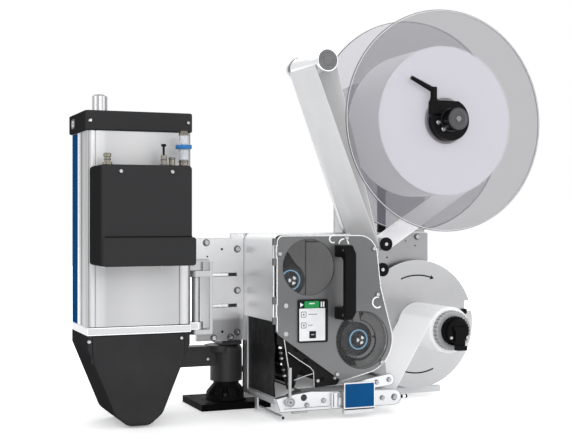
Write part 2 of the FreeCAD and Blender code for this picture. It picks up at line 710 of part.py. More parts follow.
# Lower bar, link and plate

def front_arm():
    """The long lower bar at the front, round at its right end."""
    end_low = "(bar_end_z - bar_end_radius)"
    end_high = "(bar_end_z + bar_end_radius)"
    corners = [("bar_left + 8", end_low), ("bar_end_x", end_low), ("bar_end_x", end_high),
               ("plate_left - 8", f"{end_high} + 3"), ("plate_left - 57", f"{end_high} + 5.5"),
               ("bar_left + 36", f"{end_high} + 2.5"), ("bar_left", f"{end_high} - 4")]
    body = plate("front_arm", "XZ_Plane", corners, "-bar_rear", "bar_thickness")
    end = new_sketch(body, "XZ_Plane", "-bar_rear")
    draw_circle(end, "bar_end_x", "bar_end_z", "bar_end_radius")
    pad(body, end, "bar_thickness")
    spots = [("bar_end_x", "bar_end_z", "journal_radius + running_gap"),
             ("platen_x", "platen_z", "journal_radius + running_gap"),
             ("lever_x", "lever_z", "journal_radius - 1 + running_gap")]
    holes(body, "XZ_Plane", spots)


def bar_roller(label, x, z, radius, body_front):
    """A roller that runs in the bar at its front and in the panel at its back."""
    start = "(bar_rear - bar_thickness + 3)"
    body_start = f"({body_front} - {start})"
    body_end = f"(panel_front - 2 - {start})"
    back = f"(panel_front + panel_thickness - {start})"
    profile = [("0", "0"), ("journal_radius", "0"), ("journal_radius", body_start), (radius, body_start),
               (radius, body_end), ("journal_radius", body_end), ("journal_radius", back), ("0", back)]
    turned(label, "y", x, start, z, profile)


def front_plate():
    """The bare plate on its channel, with the clamp block beside it."""
    face = "(bar_rear - bar_thickness)"
    board = box("plate_left", "plate_front", "plate_bottom", "plate_width", "3", "plate_height")
    back = box("plate_left + 5", "plate_front + 3", "plate_bottom + 3", "plate_width - 10",
               f"{face} - plate_front - 3", "plate_height - 16")
    channel = box("plate_left + 1", "plate_front + 1", "plate_bottom - 9", "plate_width - 3",
                  f"{face} - plate_front - 1", "10")
    block = box("plate_left - 20", f"{face} - 6", "bar_end_z - 11", "12", "6", "26")
    bridge = box("plate_left - 9", f"{face} - 4", "bar_end_z - 8", "16", "4", "14")
    keep(fuse(board, back, channel, block, bridge), "front_plate")


def upper_link():
    """The short link behind the bar, with the rod on which the web turns to the platen."""
    corners = [("link_x", "link_z - link_small"), ("link_end_x", "link_end_z - link_large"),
               ("link_end_x", "link_end_z + link_large"), ("link_x", "link_z + link_small")]
    rear = "-(bar_rear + bracket_thickness)"
    body = plate("upper_link", "XZ_Plane", corners, rear, "bracket_thickness")
    for x, z, radius in (("link_x", "link_z", "link_small"), ("link_end_x", "link_end_z", "link_large")):
        end = new_sketch(body, "XZ_Plane", rear)
        draw_circle(end, x, z, radius)
        pad(body, end, "bracket_thickness")
    spacer = new_sketch(body, "XZ_Plane", "-panel_front")
    draw_circle(spacer, "link_end_x", "link_end_z", "journal_radius")
    pad(body, spacer, "panel_front - bar_rear - 1")


def air_tube():
    """The air tube under the peel edge, with a row of jets and its carrier."""
    tube = rod("y", "tube_x", "tube_front", "tube_z", "tube_radius", "tube_rear - tube_front")
    bore = rod("y", "tube_x", "tube_front - 1", "tube_z", "tube_radius - 1.2", "tube_rear - tube_front - 4")
    jets = [rod("z", "tube_x", f"tube_front + 10 + {index} * 12", "tube_z - tube_radius - 1", "0.9",
                "tube_radius")
            for index in range(9)]
    carrier = box("panel_left", "tube_rear - 12", "tube_z - 2", "cover_wall + 1", "12",
                  "bar_end_z - 3 - tube_z + 2")
    lug = box("panel_left", "tube_rear - 12", "tube_z - 3", "tube_x - panel_left - tube_radius + 1", "12",
              "6")
    keep(fuse(cut(tube, bore, *jets), carrier, lug), "air_tube")


# Web rollers, dancer and web

def guide_rollers():
    """The two web rollers; the upper one's journal runs through the dancer's hub."""
    rears = {"upper": "dancer_arm_rear - dancer_arm_thickness - seat_gap", "lower": "panel_front - 4"}
    for name, rear in rears.items():
        journal_roller(f"guide_roller_{name}", f"{name}_roller_x", f"{name}_roller_z", "roller_radius",
                       "roller_front", rear)


def dancer_arm():
    """The dancer arm on its tubular pivot, with the stud that its roller turns on."""
    run = "(dancer_x - upper_roller_x)"
    rise = "(dancer_z - upper_roller_z)"
    lean = f"atan({run} / {rise})"
    front = "(dancer_arm_rear - dancer_arm_thickness)"
    hub = rod("y", "upper_roller_x", front, "upper_roller_z", "dancer_arm_width / 2 + 4",
              f"panel_front - seat_gap - {front}")
    pivot = rod("y", "upper_roller_x", "dancer_arm_rear", "upper_roller_z", "pivot_radius",
                "panel_front + panel_thickness - dancer_arm_rear")
    blade = box(f"upper_roller_x - dancer_arm_width / 2 * cos({lean})", front,
                f"upper_roller_z + dancer_arm_width / 2 * sin({lean})",
                "dancer_arm_width", "dancer_arm_thickness", f"sqrt({run} ^ 2 + {rise} ^ 2)")
    blade.Placement.Rotation = FreeCAD.Rotation(FreeCAD.Vector(0, 1, 0), 1)
    bind(blade, "Placement.Rotation.Angle", lean)
    head = rod("y", "dancer_x", front, "dancer_z", "dancer_roller_radius - 2", "dancer_arm_thickness")
    stud = rod("y", "dancer_x", "dancer_roller_front + 6", "dancer_z", "journal_radius",
               f"{front} - dancer_roller_front - 6")
    bore = rod("y", "upper_roller_x", f"{front} - 1", "upper_roller_z", "journal_radius + running_gap",
               "panel_front + panel_thickness - dancer_arm_rear + dancer_arm_thickness + 2")
    keep(cut(fuse(hub, pivot, blade, head, stud), bore), "dancer_arm")


def dancer_roller():
    """The roller at the dancer's head: a turned tube with end flanges and a front cap."""
    length = "(dancer_arm_rear - dancer_arm_thickness - seat_gap - dancer_roller_front)"
    bore = "journal_radius + running_gap"
    profile = [("0", "1.5"), ("dancer_roller_radius * 0.4", "1.5"), ("dancer_roller_radius * 0.5", "0"),
               ("dancer_roller_radius - 1", "0"), ("dancer_roller_radius", "1"),
               ("dancer_roller_radius", "5"), ("dancer_roller_radius - 1", "6"),
               ("dancer_roller_radius - 1", f"{length} - 2"), ("dancer_roller_radius", length),
               (bore, length), (bore, "5.5"), ("0", "5.5")]
    turned("dancer_roller", "y", "dancer_x", "dancer_roller_front", "dancer_z", profile)


def tangent(start, start_radius, end, end_radius):
    """Where a web runs straight between two rounds.

    A positive radius has the round on the right of the run, a negative one on its left.
    """
    gap = end - start
    turn = math.asin((end_radius - start_radius) / gap.Length)
    along = FreeCAD.Vector(gap.x, 0, gap.z).normalize()
    rotation = FreeCAD.Rotation(FreeCAD.Vector(0, -1, 0), math.degrees(turn))
    along = rotation.multVec(along)
    left = FreeCAD.Vector(-along.z, 0, along.x)
    return start + left * start_radius, end + left * end_radius


def spot(x, z):
    return FreeCAD.Vector(number(x), number("web_front"), number(z))


def web_strip(first, last):
    """A straight stretch of web between two points, on the given side of the line."""
    thickness = number("web_thickness")
    along = (last - first).normalize()
    left = FreeCAD.Vector(-along.z, 0, along.x) * (thickness / 2)
    corners = [first - left, last - left, last + left, first + left]
    face = Part.Face(Part.makePolygon(corners + corners[:1]))
    return face.extrude(FreeCAD.Vector(0, number("web_width"), 0))


def web_part(label, strips):
    made = document.addObject("Part::Feature", label)
    made.Shape = strips[0] if len(strips) == 1 else Part.makeCompound(strips)
    keep(made, label)


def web():
    """The label web from the reel over the dancer to the peel edge, and the liner back."""
    gap = number("seat_gap + web_thickness / 2")
    upper = spot("upper_roller_x", "upper_roller_z")
    lower = spot("lower_roller_x", "lower_roller_z")
    dancer = spot("dancer_x", "dancer_z")
    link = spot("link_end_x", "link_end_z")
    platen = spot("platen_x", "platen_z")
    liner = spot("bar_end_x", "bar_end_z")
    peel_top = spot("platen_x - 36", "bar_end_z + 5")
    peel_low = spot("platen_x - 36", "bar_end_z - 4")
    roller = number("roller_radius") + gap
    dancer_round = number("dancer_roller_radius") + gap
    rod_round = number("journal_radius") + gap
    platen_round = number("platen_radius") + gap
    liner_round = number("liner_roller_radius") + gap
    rising = tangent(upper, roller, dancer, -dancer_round)
    falling = tangent(upper, roller + number("web_thickness + seat_gap"), dancer, dancer_round)
    web_part("dancer_web", [web_strip(*rising), web_strip(*falling)])
    strands = [tangent(upper, -roller, spot("reel_x", "reel_z"), -number("roll_radius") - gap),
               (falling[0] - FreeCAD.Vector(0, 0, 3 * gap), lower + FreeCAD.Vector(-roller, 0, 0)),
               tangent(lower, -roller, link, rod_round),
               tangent(link, rod_round, platen, -platen_round),
               tangent(platen, -platen_round, peel_top, 0),
               tangent(peel_low, 0, liner, -liner_round),
               tangent(liner, -liner_round, spot("rewind_x", "rewind_z"),
                       number("liner_roll_radius") + gap)]
    web_part("label_web", [web_strip(*strand) for strand in strands])


# Supply reel

def reel_support():
    corners = [("support_left", "support_bottom"), ("support_right", "support_bottom"),
               ("support_right", "support_top - 40"), ("support_right - 40", "support_top"),
               ("support_left + 45", "support_top"), ("support_left", "support_top - 20")]
    rear = "panel_front + panel_thickness + support_thickness"
    body = plate("reel_support_plate", "XZ_Plane", corners, f"-({rear})", "support_thickness")
    holes(body, "XZ_Plane", [("reel_x", "reel_z", "shaft_radius + seat_gap")])


def reel_post():
    """The square post that stands on the panel and stiffens the support plate."""
    top = "reel_z - bearing_radius - 4"
    keep(box("post_x", "panel_front - 4", "panel_top", "post_width", "panel_thickness + 4",
             f"{top} - panel_top"),
         "reel_post")


def shaft_bearings():
    """The flanged bearings of the supply shaft and the rewinder."""
    pieces = []
    rear = "panel_front + panel_thickness"
    spots = (("reel_x", rear, "reel_z", "bearing_radius", "14", "shaft_radius"),
             ("rewind_x", "panel_front", "rewind_z", "bearing_radius - 12", "12", "journal_radius"))
    for x, back, z, radius, depth, bore in spots:
        flange = rod("y", x, f"{back} - 5", z, f"{radius} + 6", "5")
        barrel = rod("y", x, f"{back} - {depth}", z, radius, depth)
        hole = rod("y", x, f"{back} - {depth} - 1", z, f"{bore} + running_gap", f"{depth} + 2")
        pieces.append(cut(fuse(flange, barrel), hole))
    keep(group(*pieces), "shaft_bearings")


def supply_shaft():
    """The reel's shaft with its core hub and the round nose."""
    start = "shaft_front"
    hub_start = "(reel_front + 0 - shaft_front)"
    hub_end = "(reel_front + reel_gap - shaft_front - flange_wall)"
    back = "(panel_front + panel_thickness + support_thickness + 4 - shaft_front)"
    nose_end = "(reel_front - flange_wall - collar_depth - shaft_front)"
    profile = [("0", "2"), ("nose_radius * 0.3", "2"), ("nose_radius * 0.3", "0"),
               ("nose_radius - 1.5", "0"),
               ("nose_radius", "1.5"), ("nose_radius", f"{nose_end} - 0.5"),
               ("nose_radius - 1", f"{nose_end} - 0.5"),
               ("nose_radius - 1", nose_end), ("shaft_radius", nose_end),
               ("shaft_radius", hub_start), ("core_radius", hub_start),
               ("core_radius", hub_end), ("shaft_radius", hub_end), ("shaft_radius", back), ("0", back)]
    turned("supply_shaft", "y", "reel_x", start, "reel_z", profile)


def reel_flanges():
    """The front and rear discs of the supply reel."""
    discs = []
    for front in ("reel_front - flange_wall", "reel_front + reel_gap - flange_wall"):
        disc = rod("y", "reel_x", front, "reel_z", "reel_radius", "flange_wall")
        hole = rod("y", "reel_x", f"{front} - 1", "reel_z", "shaft_radius", "flange_wall + 2")
        discs.append(cut(disc, hole))
    keep(group(*discs), "reel_flanges")


def label_roll():
    front = "reel_front + 2"
    length = "reel_gap - flange_wall - 4"
    whole = rod("y", "reel_x", front, "reel_z", "roll_radius", length)
    hole = rod("y", "reel_x", f"{front} - 1", "reel_z", "core_radius", f"{length} + 2")
    keep(cut(whole, hole), "label_roll")


def reel_collar():
    """The split clamp collar in front of the reel, with a flat top under its lever."""
    rear = "(reel_front - flange_wall)"
    front = f"({rear} - collar_depth)"
    disc = rod("y", "reel_x", front, "reel_z", "clamp_radius", "collar_depth")
    block = box("reel_x - clamp_radius", front, "reel_z", "clamp_radius + 16", "collar_depth", "clamp_flat")
    hole = rod("y", "reel_x", f"{front} - 1", "reel_z", "shaft_radius", "collar_depth + 2")
    slit = box("reel_x - clamp_radius - 1", f"{front} - 1", "reel_z + 6", "clamp_radius - shaft_radius + 4",
               "collar_depth + 2", "4")
    trim = box("reel_x - clamp_radius", f"{front} - 1", "reel_z + clamp_flat", "clamp_radius * 2",
               "collar_depth + 2", "10")
    keep(cut(fuse(disc, block), hole, slit, trim), "reel_collar")


def clamp_lever():
    """The quick clamp lever: a stem on the collar's flat and a rising tapered arm."""
    axis_y = "reel_front - flange_wall - collar_depth / 2"
    seat = "reel_z + clamp_flat + seat_gap"
    stem = rod("z", "clamp_lever_x", axis_y, seat, "clamp_stem_radius", "clamp_stem_height")
    foot = rod("z", "clamp_lever_x", axis_y, seat, "clamp_stem_radius + 1.5", "3")
    arm = document.addObject("Part::Cone", "Grip")
    bind(arm, "Radius1", "clamp_stem_radius * 0.85")
    bind(arm, "Radius2", "clamp_stem_radius * 0.6")
    bind(arm, "Height", "clamp_arm_length")
    arm.Placement = FreeCAD.Placement(FreeCAD.Vector(), FreeCAD.Rotation(FreeCAD.Vector(0, 1, 0), -65))
    place(arm, "clamp_lever_x", axis_y, f"{seat} + clamp_stem_height * 0.75")
    keep(fuse(stem, foot, arm), "clamp_lever")


# Rewinder

def rewind_disc():
    """The rewinder's rear disc with the notch at its rim."""
    front = "panel_front - 15 - rewind_wall"
    disc = rod("y", "rewind_x", front, "rewind_z", "rewind_radius", "rewind_wall")
    hole = rod("y", "rewind_x", f"{front} - 1", "rewind_z", "mandrel_radius * 0.6", "rewind_wall + 2")
    notch = box("rewind_x + rewind_radius - 18", f"{front} - 1", "rewind_z + 22", "30", "rewind_wall + 2",
                "20")
    keep(cut(disc, hole, notch), "rewind_disc")


def liner_roll():
    front = "web_front"
    length = "panel_front - 15 - rewind_wall - seat_gap - web_front"
    whole = rod("y", "rewind_x", front, "rewind_z", "liner_roll_radius", length)
    hole = rod("y", "rewind_x", f"{front} - 1", "rewind_z", "mandrel_radius", f"{length} + 2")
    keep(cut(whole, hole), "liner_roll")


def rewind_hub():
    """The serrated knob with ears for its wing, the mandrel, the neck and the journal."""
    disc_front = "(panel_front - 15 - rewind_wall - rewind_front)"
    neck_end = "(panel_front - 12 - seat_gap - rewind_front)"
    back = "(panel_front + panel_thickness - rewind_front)"
    profile = [("0", "0"), ("knob_radius - 3", "0"), ("knob_radius - 1.5", "1.5"),
               ("knob_radius - 1.5", "knob_depth * 0.4"), ("knob_radius + 1", "knob_depth * 0.4"),
               ("knob_radius + 1", "knob_depth"), ("mandrel_radius", "knob_depth"),
               ("mandrel_radius", disc_front),
               ("mandrel_radius * 0.6", disc_front), ("mandrel_radius * 0.6", neck_end),
               ("journal_radius", neck_end), ("journal_radius", back), ("0", back)]
    body = turned("rewind_hub", "y", "rewind_x", "rewind_front", "rewind_z", profile)
    rib = new_sketch(body, "XZ_Plane", "-knob_depth")
    draw_outline(rib, [("knob_radius", "-2"), ("knob_radius + 3", "-0.8"), ("knob_radius + 3", "0.8"),
                       ("knob_radius", "2")])
    tooth = pad(body, rib, "knob_depth * 0.6")
    pattern_round(body, tooth, "Y_Axis", 28)
    reach = "(wing_width / 2 + seat_gap)"
    for offset in (reach, f"-({reach} + 3.5)"):
        ear = new_sketch(body, "YZ_Plane", offset)
        draw_outline(ear, [("-wing_pin * 4", "wing_pin * 2"), ("1", "wing_pin * 2"), ("1", "wing_pin * 6"),
                           ("-wing_pin * 4", "wing_pin * 6")])
        pad(body, ear, "3.5")
    pin = new_sketch(body, "YZ_Plane", f"-{reach} - 1")
    draw_circle(pin, "-(wing_pin * 2 + seat_gap)", "wing_pin * 4", "wing_pin")
    pad(body, pin, f"{reach} * 2 + 2")


def release_wing():
    """The finger wing that frees the mandrel, hung on the pin between the knob's ears."""
    left = "rewind_x - wing_width / 2"
    axis_y = "rewind_front - wing_pin * 2 - seat_gap"
    axis_z = "rewind_z + wing_pin * 4"
    barrel = rod("x", left, axis_y, axis_z, "wing_pin * 2", "wing_width")
    blade = box(left, f"{axis_y} - wing_pin * 1.5", f"{axis_z} - wing_length - 6", "wing_width",
                "wing_pin * 3.5", "wing_length + 6")
    lip = box(left, f"{axis_y} - wing_pin * 6", f"{axis_z} - wing_length - 6", "wing_width",
              "wing_pin * 6", "8")
    bore = rod("x", f"{left} - 1", axis_y, axis_z, "wing_pin + running_gap", "wing_width + 2")
    keep(cut(fuse(barrel, blade, lip), bore), "release_wing")


# Applicator tower

def tower_corners():
    return [("tower_left", "tower_front"), ("tower_right", "tower_front"),
            ("tower_right", "tower_rear"), ("tower_left", "tower_rear")]


def tower_housing():
    """The extruded column: thin walls, rounded corners, front seams and the upper hinge lug."""
    corners = tower_corners()
    body = plate("tower_housing", "XY_Plane", corners, "tower_bottom", "tower_top - tower_bottom")
    round_edges(body, "z", corners, "tower_corner")
    inner = [("tower_left + tower_wall", "tower_front + tower_wall"),
             ("tower_right - tower_wall", "tower_front + tower_wall"),
             ("tower_right - tower_wall", "tower_rear - tower_wall"),
             ("tower_left + tower_wall", "tower_rear - tower_wall")]
    hollow = new_sketch(body, "XY_Plane", "tower_bottom")
    draw_outline(hollow, inner)
    pocket(body, hollow)
    for seam in ("tower_left + 12.5", "tower_right - 21"):
        groove = new_sketch(body, "XY_Plane", "tower_bottom")
        draw_outline(groove, [(seam, "tower_front - 1"), (f"{seam} + 1.6", "tower_front - 1"),
                              (f"{seam} + 1.6", "tower_front + 2"), (seam, "tower_front + 2")])
        pocket(body, groove)
    lug = new_sketch(body, "XY_Plane", "upper_lug")
    draw_outline(lug, [("tower_right - 2", "tower_hinge_y - lug_radius"),
                       ("tower_hinge_x", "tower_hinge_y - lug_radius"),
                       ("tower_hinge_x", "tower_hinge_y + lug_radius"),
                       ("tower_right - 2", "tower_hinge_y + lug_radius")])
    pad(body, lug, "lug_height")
    eye = new_sketch(body, "XY_Plane", "upper_lug")
    draw_circle(eye, "tower_hinge_x", "tower_hinge_y", "lug_radius")
    pad(body, eye, "lug_height")
    holes(body, "XY_Plane", [("tower_hinge_x", "tower_hinge_y", "tower_pin_radius + running_gap")])


def tower_band():
    """The bright band under the column, with the lower hinge eye."""
    low = "tower_bottom - band_height"
    ring = box("tower_left", "tower_front", low, "tower_right - tower_left", "tower_rear - tower_front",
               "band_height")
    arm = box("tower_right", "tower_hinge_y - lug_radius", low, "tower_hinge_x - tower_right",
              "lug_radius * 2", "band_height")
    eye = rod("z", "tower_hinge_x", "tower_hinge_y", low, "lug_radius", "band_height")
    hole = rod("z", "tower_hinge_x", "tower_hinge_y", f"{low} - 1", "tower_pin_radius + running_gap",
               "band_height + 2")
    keep(cut(fuse(ring, arm, eye), hole), "tower_band")


def tower_hinge():
    """The bracket on the slotted plate, its two lugs and the vertical hinge pin."""
    low = "(tower_bottom - band_height - seat_gap - 9)"
    high = "(upper_lug - seat_gap - 11)"
    height = f"(upper_lug + lug_height - {low})"
    flank = box("slide_left - 6", "tower_hinge_y - lug_radius", low, "6",
                "panel_front - tower_hinge_y + lug_radius", height)
    foot = box("slide_left - 6", "panel_front - 6", low, "29", "6", height)
    pieces = [flank, foot]
    for level, depth in ((low, "9"), (high, "11")):
        pieces.append(box("tower_hinge_x", "tower_hinge_y - lug_radius", level,
                          "slide_left - 6 - tower_hinge_x", "lug_radius * 2", depth))
        pieces.append(rod("z", "tower_hinge_x", "tower_hinge_y", level, "lug_radius", depth))
    pieces.append(rod("z", "tower_hinge_x", "tower_hinge_y", low, "tower_pin_radius", height))
    keep(fuse(*pieces), "tower_hinge")


def tower_cap():
    side = "cap_overhang"
    corners = [(f"tower_left - {side}", f"tower_front - {side}"),
               (f"tower_right + {side} - 3", f"tower_front - {side}"),
               (f"tower_right + {side} - 3", f"tower_rear + {side}"),
               (f"tower_left - {side}", f"tower_rear + {side}")]
    body = plate("tower_cap", "XY_Plane", corners, "tower_top", "cap_height")
    round_edges(body, "z", corners, "tower_corner")
    holes(body, "XY_Plane", [("rod_x", "rod_y", "rod_radius + running_gap")])
    recess = new_sketch(body, "YZ_Plane", f"tower_left - {side}")
    low = "tower_top + cap_height / 2 - 7"
    back = f"tower_rear + {side} - 19"
    draw_outline(recess, [(f"{back} - recess_length", low), (back, low), (back, f"{low} + 14"),
                          (f"{back} - recess_length", f"{low} + 14")])
    pocket(body, recess, "4")


def guide_rod():
    profile = [("0", "0"), ("rod_radius", "0"), ("rod_radius", "rod_rise - 3"),
               ("rod_radius - 3", "rod_rise"),
               ("rod_radius - 5", "rod_rise"), ("rod_radius - 6", "rod_rise - 3"), ("0", "rod_rise - 3")]
    turned("guide_rod", "z", "rod_x", "rod_y", "tower_top", profile)


def lower_cover():
    """The tapering lower cover, a shell open at the top, with the bearing of the applicator arm."""
    middle = "((tower_left + tower_right) / 2)"
    half = "((tower_right - tower_left) / 2)"
    top = "(tower_bottom - band_height)"
    low = "(tower_bottom - band_height - lower_cover_height)"
    shoulder = f"({top} - lower_cover_shoulder)"

    def outline(inset):
        return [(f"{middle} - {half} + {inset}", top), (f"{middle} - {half} + {inset}", shoulder),
                (f"{middle} - lower_cover_tip + {inset}", f"{low} + 18"),
                (f"{middle} - lower_cover_tip + 22", f"{low} + {inset}"),
                (f"{middle} + lower_cover_tip - 22", f"{low} + {inset}"),
                (f"{middle} + lower_cover_tip - {inset}", f"{low} + 18"),
                (f"{middle} + {half} - {inset}", shoulder), (f"{middle} + {half} - {inset}", top)]
    body = plate("lower_cover", "XZ_Plane", outline("0"), "-tower_rear", "tower_rear - tower_front")
    hollow = new_sketch(body, "XZ_Plane", "-(tower_rear - lower_cover_wall)")
    draw_outline(hollow, outline("lower_cover_wall"))
    room = pocket(body, hollow, "tower_rear - tower_front - lower_cover_wall * 2")
    low_points = outline("0")[2:6]
    round_edges(body, "y", [low_points[0], low_points[3]], "lower_cover_tip / 2")
    round_edges(body, "y", [low_points[1], low_points[2]], "lower_cover_tip / 2")
    round_front(body, "tower_front", top, "cover_edge")
    hub = new_sketch(body, "XZ_Plane", "-tower_rear")
    draw_circle(hub, SWING_X, "swing_z", "12")
    pad(body, hub, "tower_rear - tower_front - 1")
    bore = new_sketch(body, "XZ_Plane", "-tower_rear")
    draw_circle(bore, SWING_X, "swing_z", "journal_radius + running_gap")
    pocket(body, bore, "20")


def valve_box():
    """The black box on the tower's front, with its proud lower lip."""
    corners = [("box_left", "tower_front"), ("box_left", "box_front"), ("box_right", "box_front"),
               ("box_right", "tower_front")]
    body = plate("valve_box", "XY_Plane", corners, "box_bottom", "box_top - box_bottom")
    round_edges(body, "z", corners[1:3], "tower_corner")
    lip = new_sketch(body, "XY_Plane", "box_bottom")
    draw_outline(lip, [("box_left + 3", "tower_front"), ("box_left + 3", "box_front - lip_proud"),
                       ("box_right + lip_proud", "box_front - lip_proud"),
                       ("box_right + lip_proud", "tower_front")])
    pad(body, lip, "lip_height")
    round_edges(body, "z", [("box_left + 3", "box_front - lip_proud")], "lip_proud - 1")
    round_edges(body, "z", [("box_right + lip_proud", "box_front - lip_proud")], "lip_proud")


def air_fittings():
    """Brass fittings on the box: supply, valve body, silencer and the filter's base."""
    top = "box_top"
    pieces = [fuse(rod("z", "plunger_x - 92", "fittings_y", top, "8", "5"),
                   rod("z", "plunger_x - 92", "fittings_y", top, "5", "20")),
              cut(rod("z", "plunger_x", "fittings_y", top, "4.5", "plunger_body"),
                  rod("z", "plunger_x", "fittings_y", f"{top} + 2", "1.8 + running_gap", "plunger_body")),
              rod("z", "plunger_x + 14", "fittings_y", top, "4.8", "15"),
              rod("z", "bowl_x", "fittings_y", top, "bowl_radius - 1", "bowl_base")]
    keep(group(*pieces), "air_fittings")


def filter_bowl():
    floor = "box_top + bowl_base"
    bowl = rod("z", "bowl_x", "fittings_y", floor, "bowl_radius", "bowl_height - 6")
    cap = cone("z", "bowl_x", "fittings_y", f"{floor} + bowl_height - 6", "bowl_radius", "bowl_radius - 3",
               "6")
    ring = cut(rod("z", "bowl_x", "fittings_y", f"{floor} + bowl_height / 2 - 5", "bowl_radius + 4.5", "7"),
               rod("z", "bowl_x", "fittings_y", f"{floor} + bowl_height / 2 - 6", "bowl_radius", "9"))
    keep(group(fuse(bowl, cap), ring), "filter_bowl")


def valve_plunger():
    """The push and pull plunger of the valve."""
    floor = "box_top + plunger_body"
    stem = rod("z", "plunger_x", "fittings_y", f"{floor} - 8", "1.8", "22")
    button = rod("z", "plunger_x", "fittings_y", f"{floor} + 14", "4", "4")
    keep(fuse(stem, button), "valve_plunger")


# Applicator arm

def applicator_arm():
    rear = "(tower_rear + seat_gap)"
    hub = rod("y", SWING_X, rear, "swing_z", "swing_width / 2", "swing_thickness")
    blade = box(f"{SWING_X} - swing_width / 2", rear, "swing_z", "swing_width", "swing_thickness",
                "swing_length")
    shaft = rod("y", SWING_X, f"{rear} - 18", "swing_z", "journal_radius", "18")
    keep(fuse(hub, blade, shaft), "applicator_arm")


def vacuum_pad():
    """The pad that takes the label, with rows of air holes."""
    rear = "(tower_rear + seat_gap + swing_thickness)"
    middle = "(swing_z + swing_length)"
    block = box(f"{SWING_X} - pad_width / 2", rear, f"{middle} - pad_height / 2", "pad_width",
                "pad_thickness", "pad_height")
    drills = []
    for column in range(4):
        for row in range(4):
            x = f"{SWING_X} - pad_width / 2 + pad_width * {(column + 0.5) / 4}"
            z = f"{middle} - pad_height / 2 + pad_height * {(row + 0.5) / 4}"
            drills.append(rod("y", x, f"{rear} + pad_thickness - 5", z, "1.6", "6"))
    keep(cut(block, *drills), "vacuum_pad")


def build():
    base_plate()
    base_flange()
    turret_collar()
    swivel_head()
    mounting_angle()
    back_plate()
    applicator_plate()
    frame_screws()
    rear_housing()
    power_inlet()
    side_cover()
    lower_frame()
    path_guard()
    door_panel()
    door_hinges()
    door_windows()
    door_handle()
    display()
    door_screws()
    printhead_bracket()
    print_unit()
    ribbon_spindle("ribbon_supply", "ribbon_x", "ribbon_z")
    ribbon_spindle("ribbon_takeup", "takeup_x", "takeup_z")
    head_lever()
    front_arm()
    bar_roller("liner_roller", "bar_end_x", "bar_end_z", "liner_roller_radius", "(bar_rear + 2)")
    bar_roller("platen_roller", "platen_x", "platen_z", "platen_radius", "(cover_front + 6)")
    front_plate()
    upper_link()
    air_tube()
    guide_rollers()
    dancer_arm()
    dancer_roller()
    web()
    reel_support()
    reel_post()
    shaft_bearings()
    supply_shaft()
    reel_flanges()
    label_roll()
    reel_collar()
    clamp_lever()
    rewind_disc()
    liner_roll()
    rewind_hub()
    release_wing()
    tower_housing()
    tower_band()
    tower_hinge()
    tower_cap()
    guide_rod()
    lower_cover()
    valve_box()
    air_fittings()
    filter_bowl()
    valve_plunger()
    applicator_arm()
    vacuum_pad()


build()
document.recompute()

for item in document.Objects:
    if "Invalid" in item.State or "Error" in item.State:
        raise RuntimeError(f"{item.Label} did not build: {item.State}")
for node in nodes:
    if node.Shape.isNull() or not node.Shape.isValid():
        raise RuntimeError(f"{node.Label} has no valid shape")

os.makedirs("parts", exist_ok=True)
for node in nodes:
    node.Shape.exportStep(f"parts/{node.Label}.step")
print(len(nodes), "sub-parts written")
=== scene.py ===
import json
from math import cos, hypot, pi, radians, sin

import bmesh
import bpy
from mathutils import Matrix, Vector


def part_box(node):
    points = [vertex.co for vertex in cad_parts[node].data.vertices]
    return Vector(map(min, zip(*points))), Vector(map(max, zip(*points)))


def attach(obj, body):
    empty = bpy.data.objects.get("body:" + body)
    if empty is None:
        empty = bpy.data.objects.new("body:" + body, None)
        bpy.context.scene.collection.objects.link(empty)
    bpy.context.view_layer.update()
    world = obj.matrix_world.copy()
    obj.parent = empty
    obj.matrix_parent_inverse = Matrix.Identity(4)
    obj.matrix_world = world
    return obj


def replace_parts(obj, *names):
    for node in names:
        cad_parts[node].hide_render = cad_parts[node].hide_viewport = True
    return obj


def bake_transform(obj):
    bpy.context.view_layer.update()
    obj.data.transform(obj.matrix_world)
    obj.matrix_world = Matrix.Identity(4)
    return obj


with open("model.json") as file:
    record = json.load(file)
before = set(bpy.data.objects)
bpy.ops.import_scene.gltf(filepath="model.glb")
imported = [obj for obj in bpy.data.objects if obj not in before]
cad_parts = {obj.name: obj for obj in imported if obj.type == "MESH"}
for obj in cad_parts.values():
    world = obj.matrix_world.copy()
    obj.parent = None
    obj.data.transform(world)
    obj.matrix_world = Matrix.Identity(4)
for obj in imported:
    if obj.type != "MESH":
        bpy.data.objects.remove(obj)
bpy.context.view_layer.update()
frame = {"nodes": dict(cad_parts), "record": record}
NODES = frame["nodes"]
BODY_OF = {node: body for body, names in frame["record"]["behaviour"]["bodies"].items() for node in names}
MM = 0.001
MICRON = 0.000001

# Axes along Y as (x, z), and front planes, in millimetres
REEL = (352, 520)
REWIND = (367.7, 140.4)
RIBBON_SUPPLY = (60, 237)
RIBBON_TAKEUP = (190, 129)
UPPER_WINDOW = (83, 260)
LOWER_WINDOW = (184.7, 131.2)
DANCER = (118, 617)
GUIDES = {"guide_roller_upper": (235, 298), "guide_roller_lower": (228, 253)}
DOOR_FRONT = -194
SCREEN_FRONT = -198.35
BOX_FRONT = -254
HEAD_FRONT = -192
FRAME_FRONT = -42.5


# Finishes

NOISE_RANGE = (0.3, 0.7)


def fill(node, **inputs):
    """Sets a node's inputs, with _ in place of spaces in their names."""
    for name, value in inputs.items():
        node.inputs[name.replace("_", " ")].default_value = value
    return node


def triple(value):
    return value if isinstance(value, tuple) else (value,) * 3


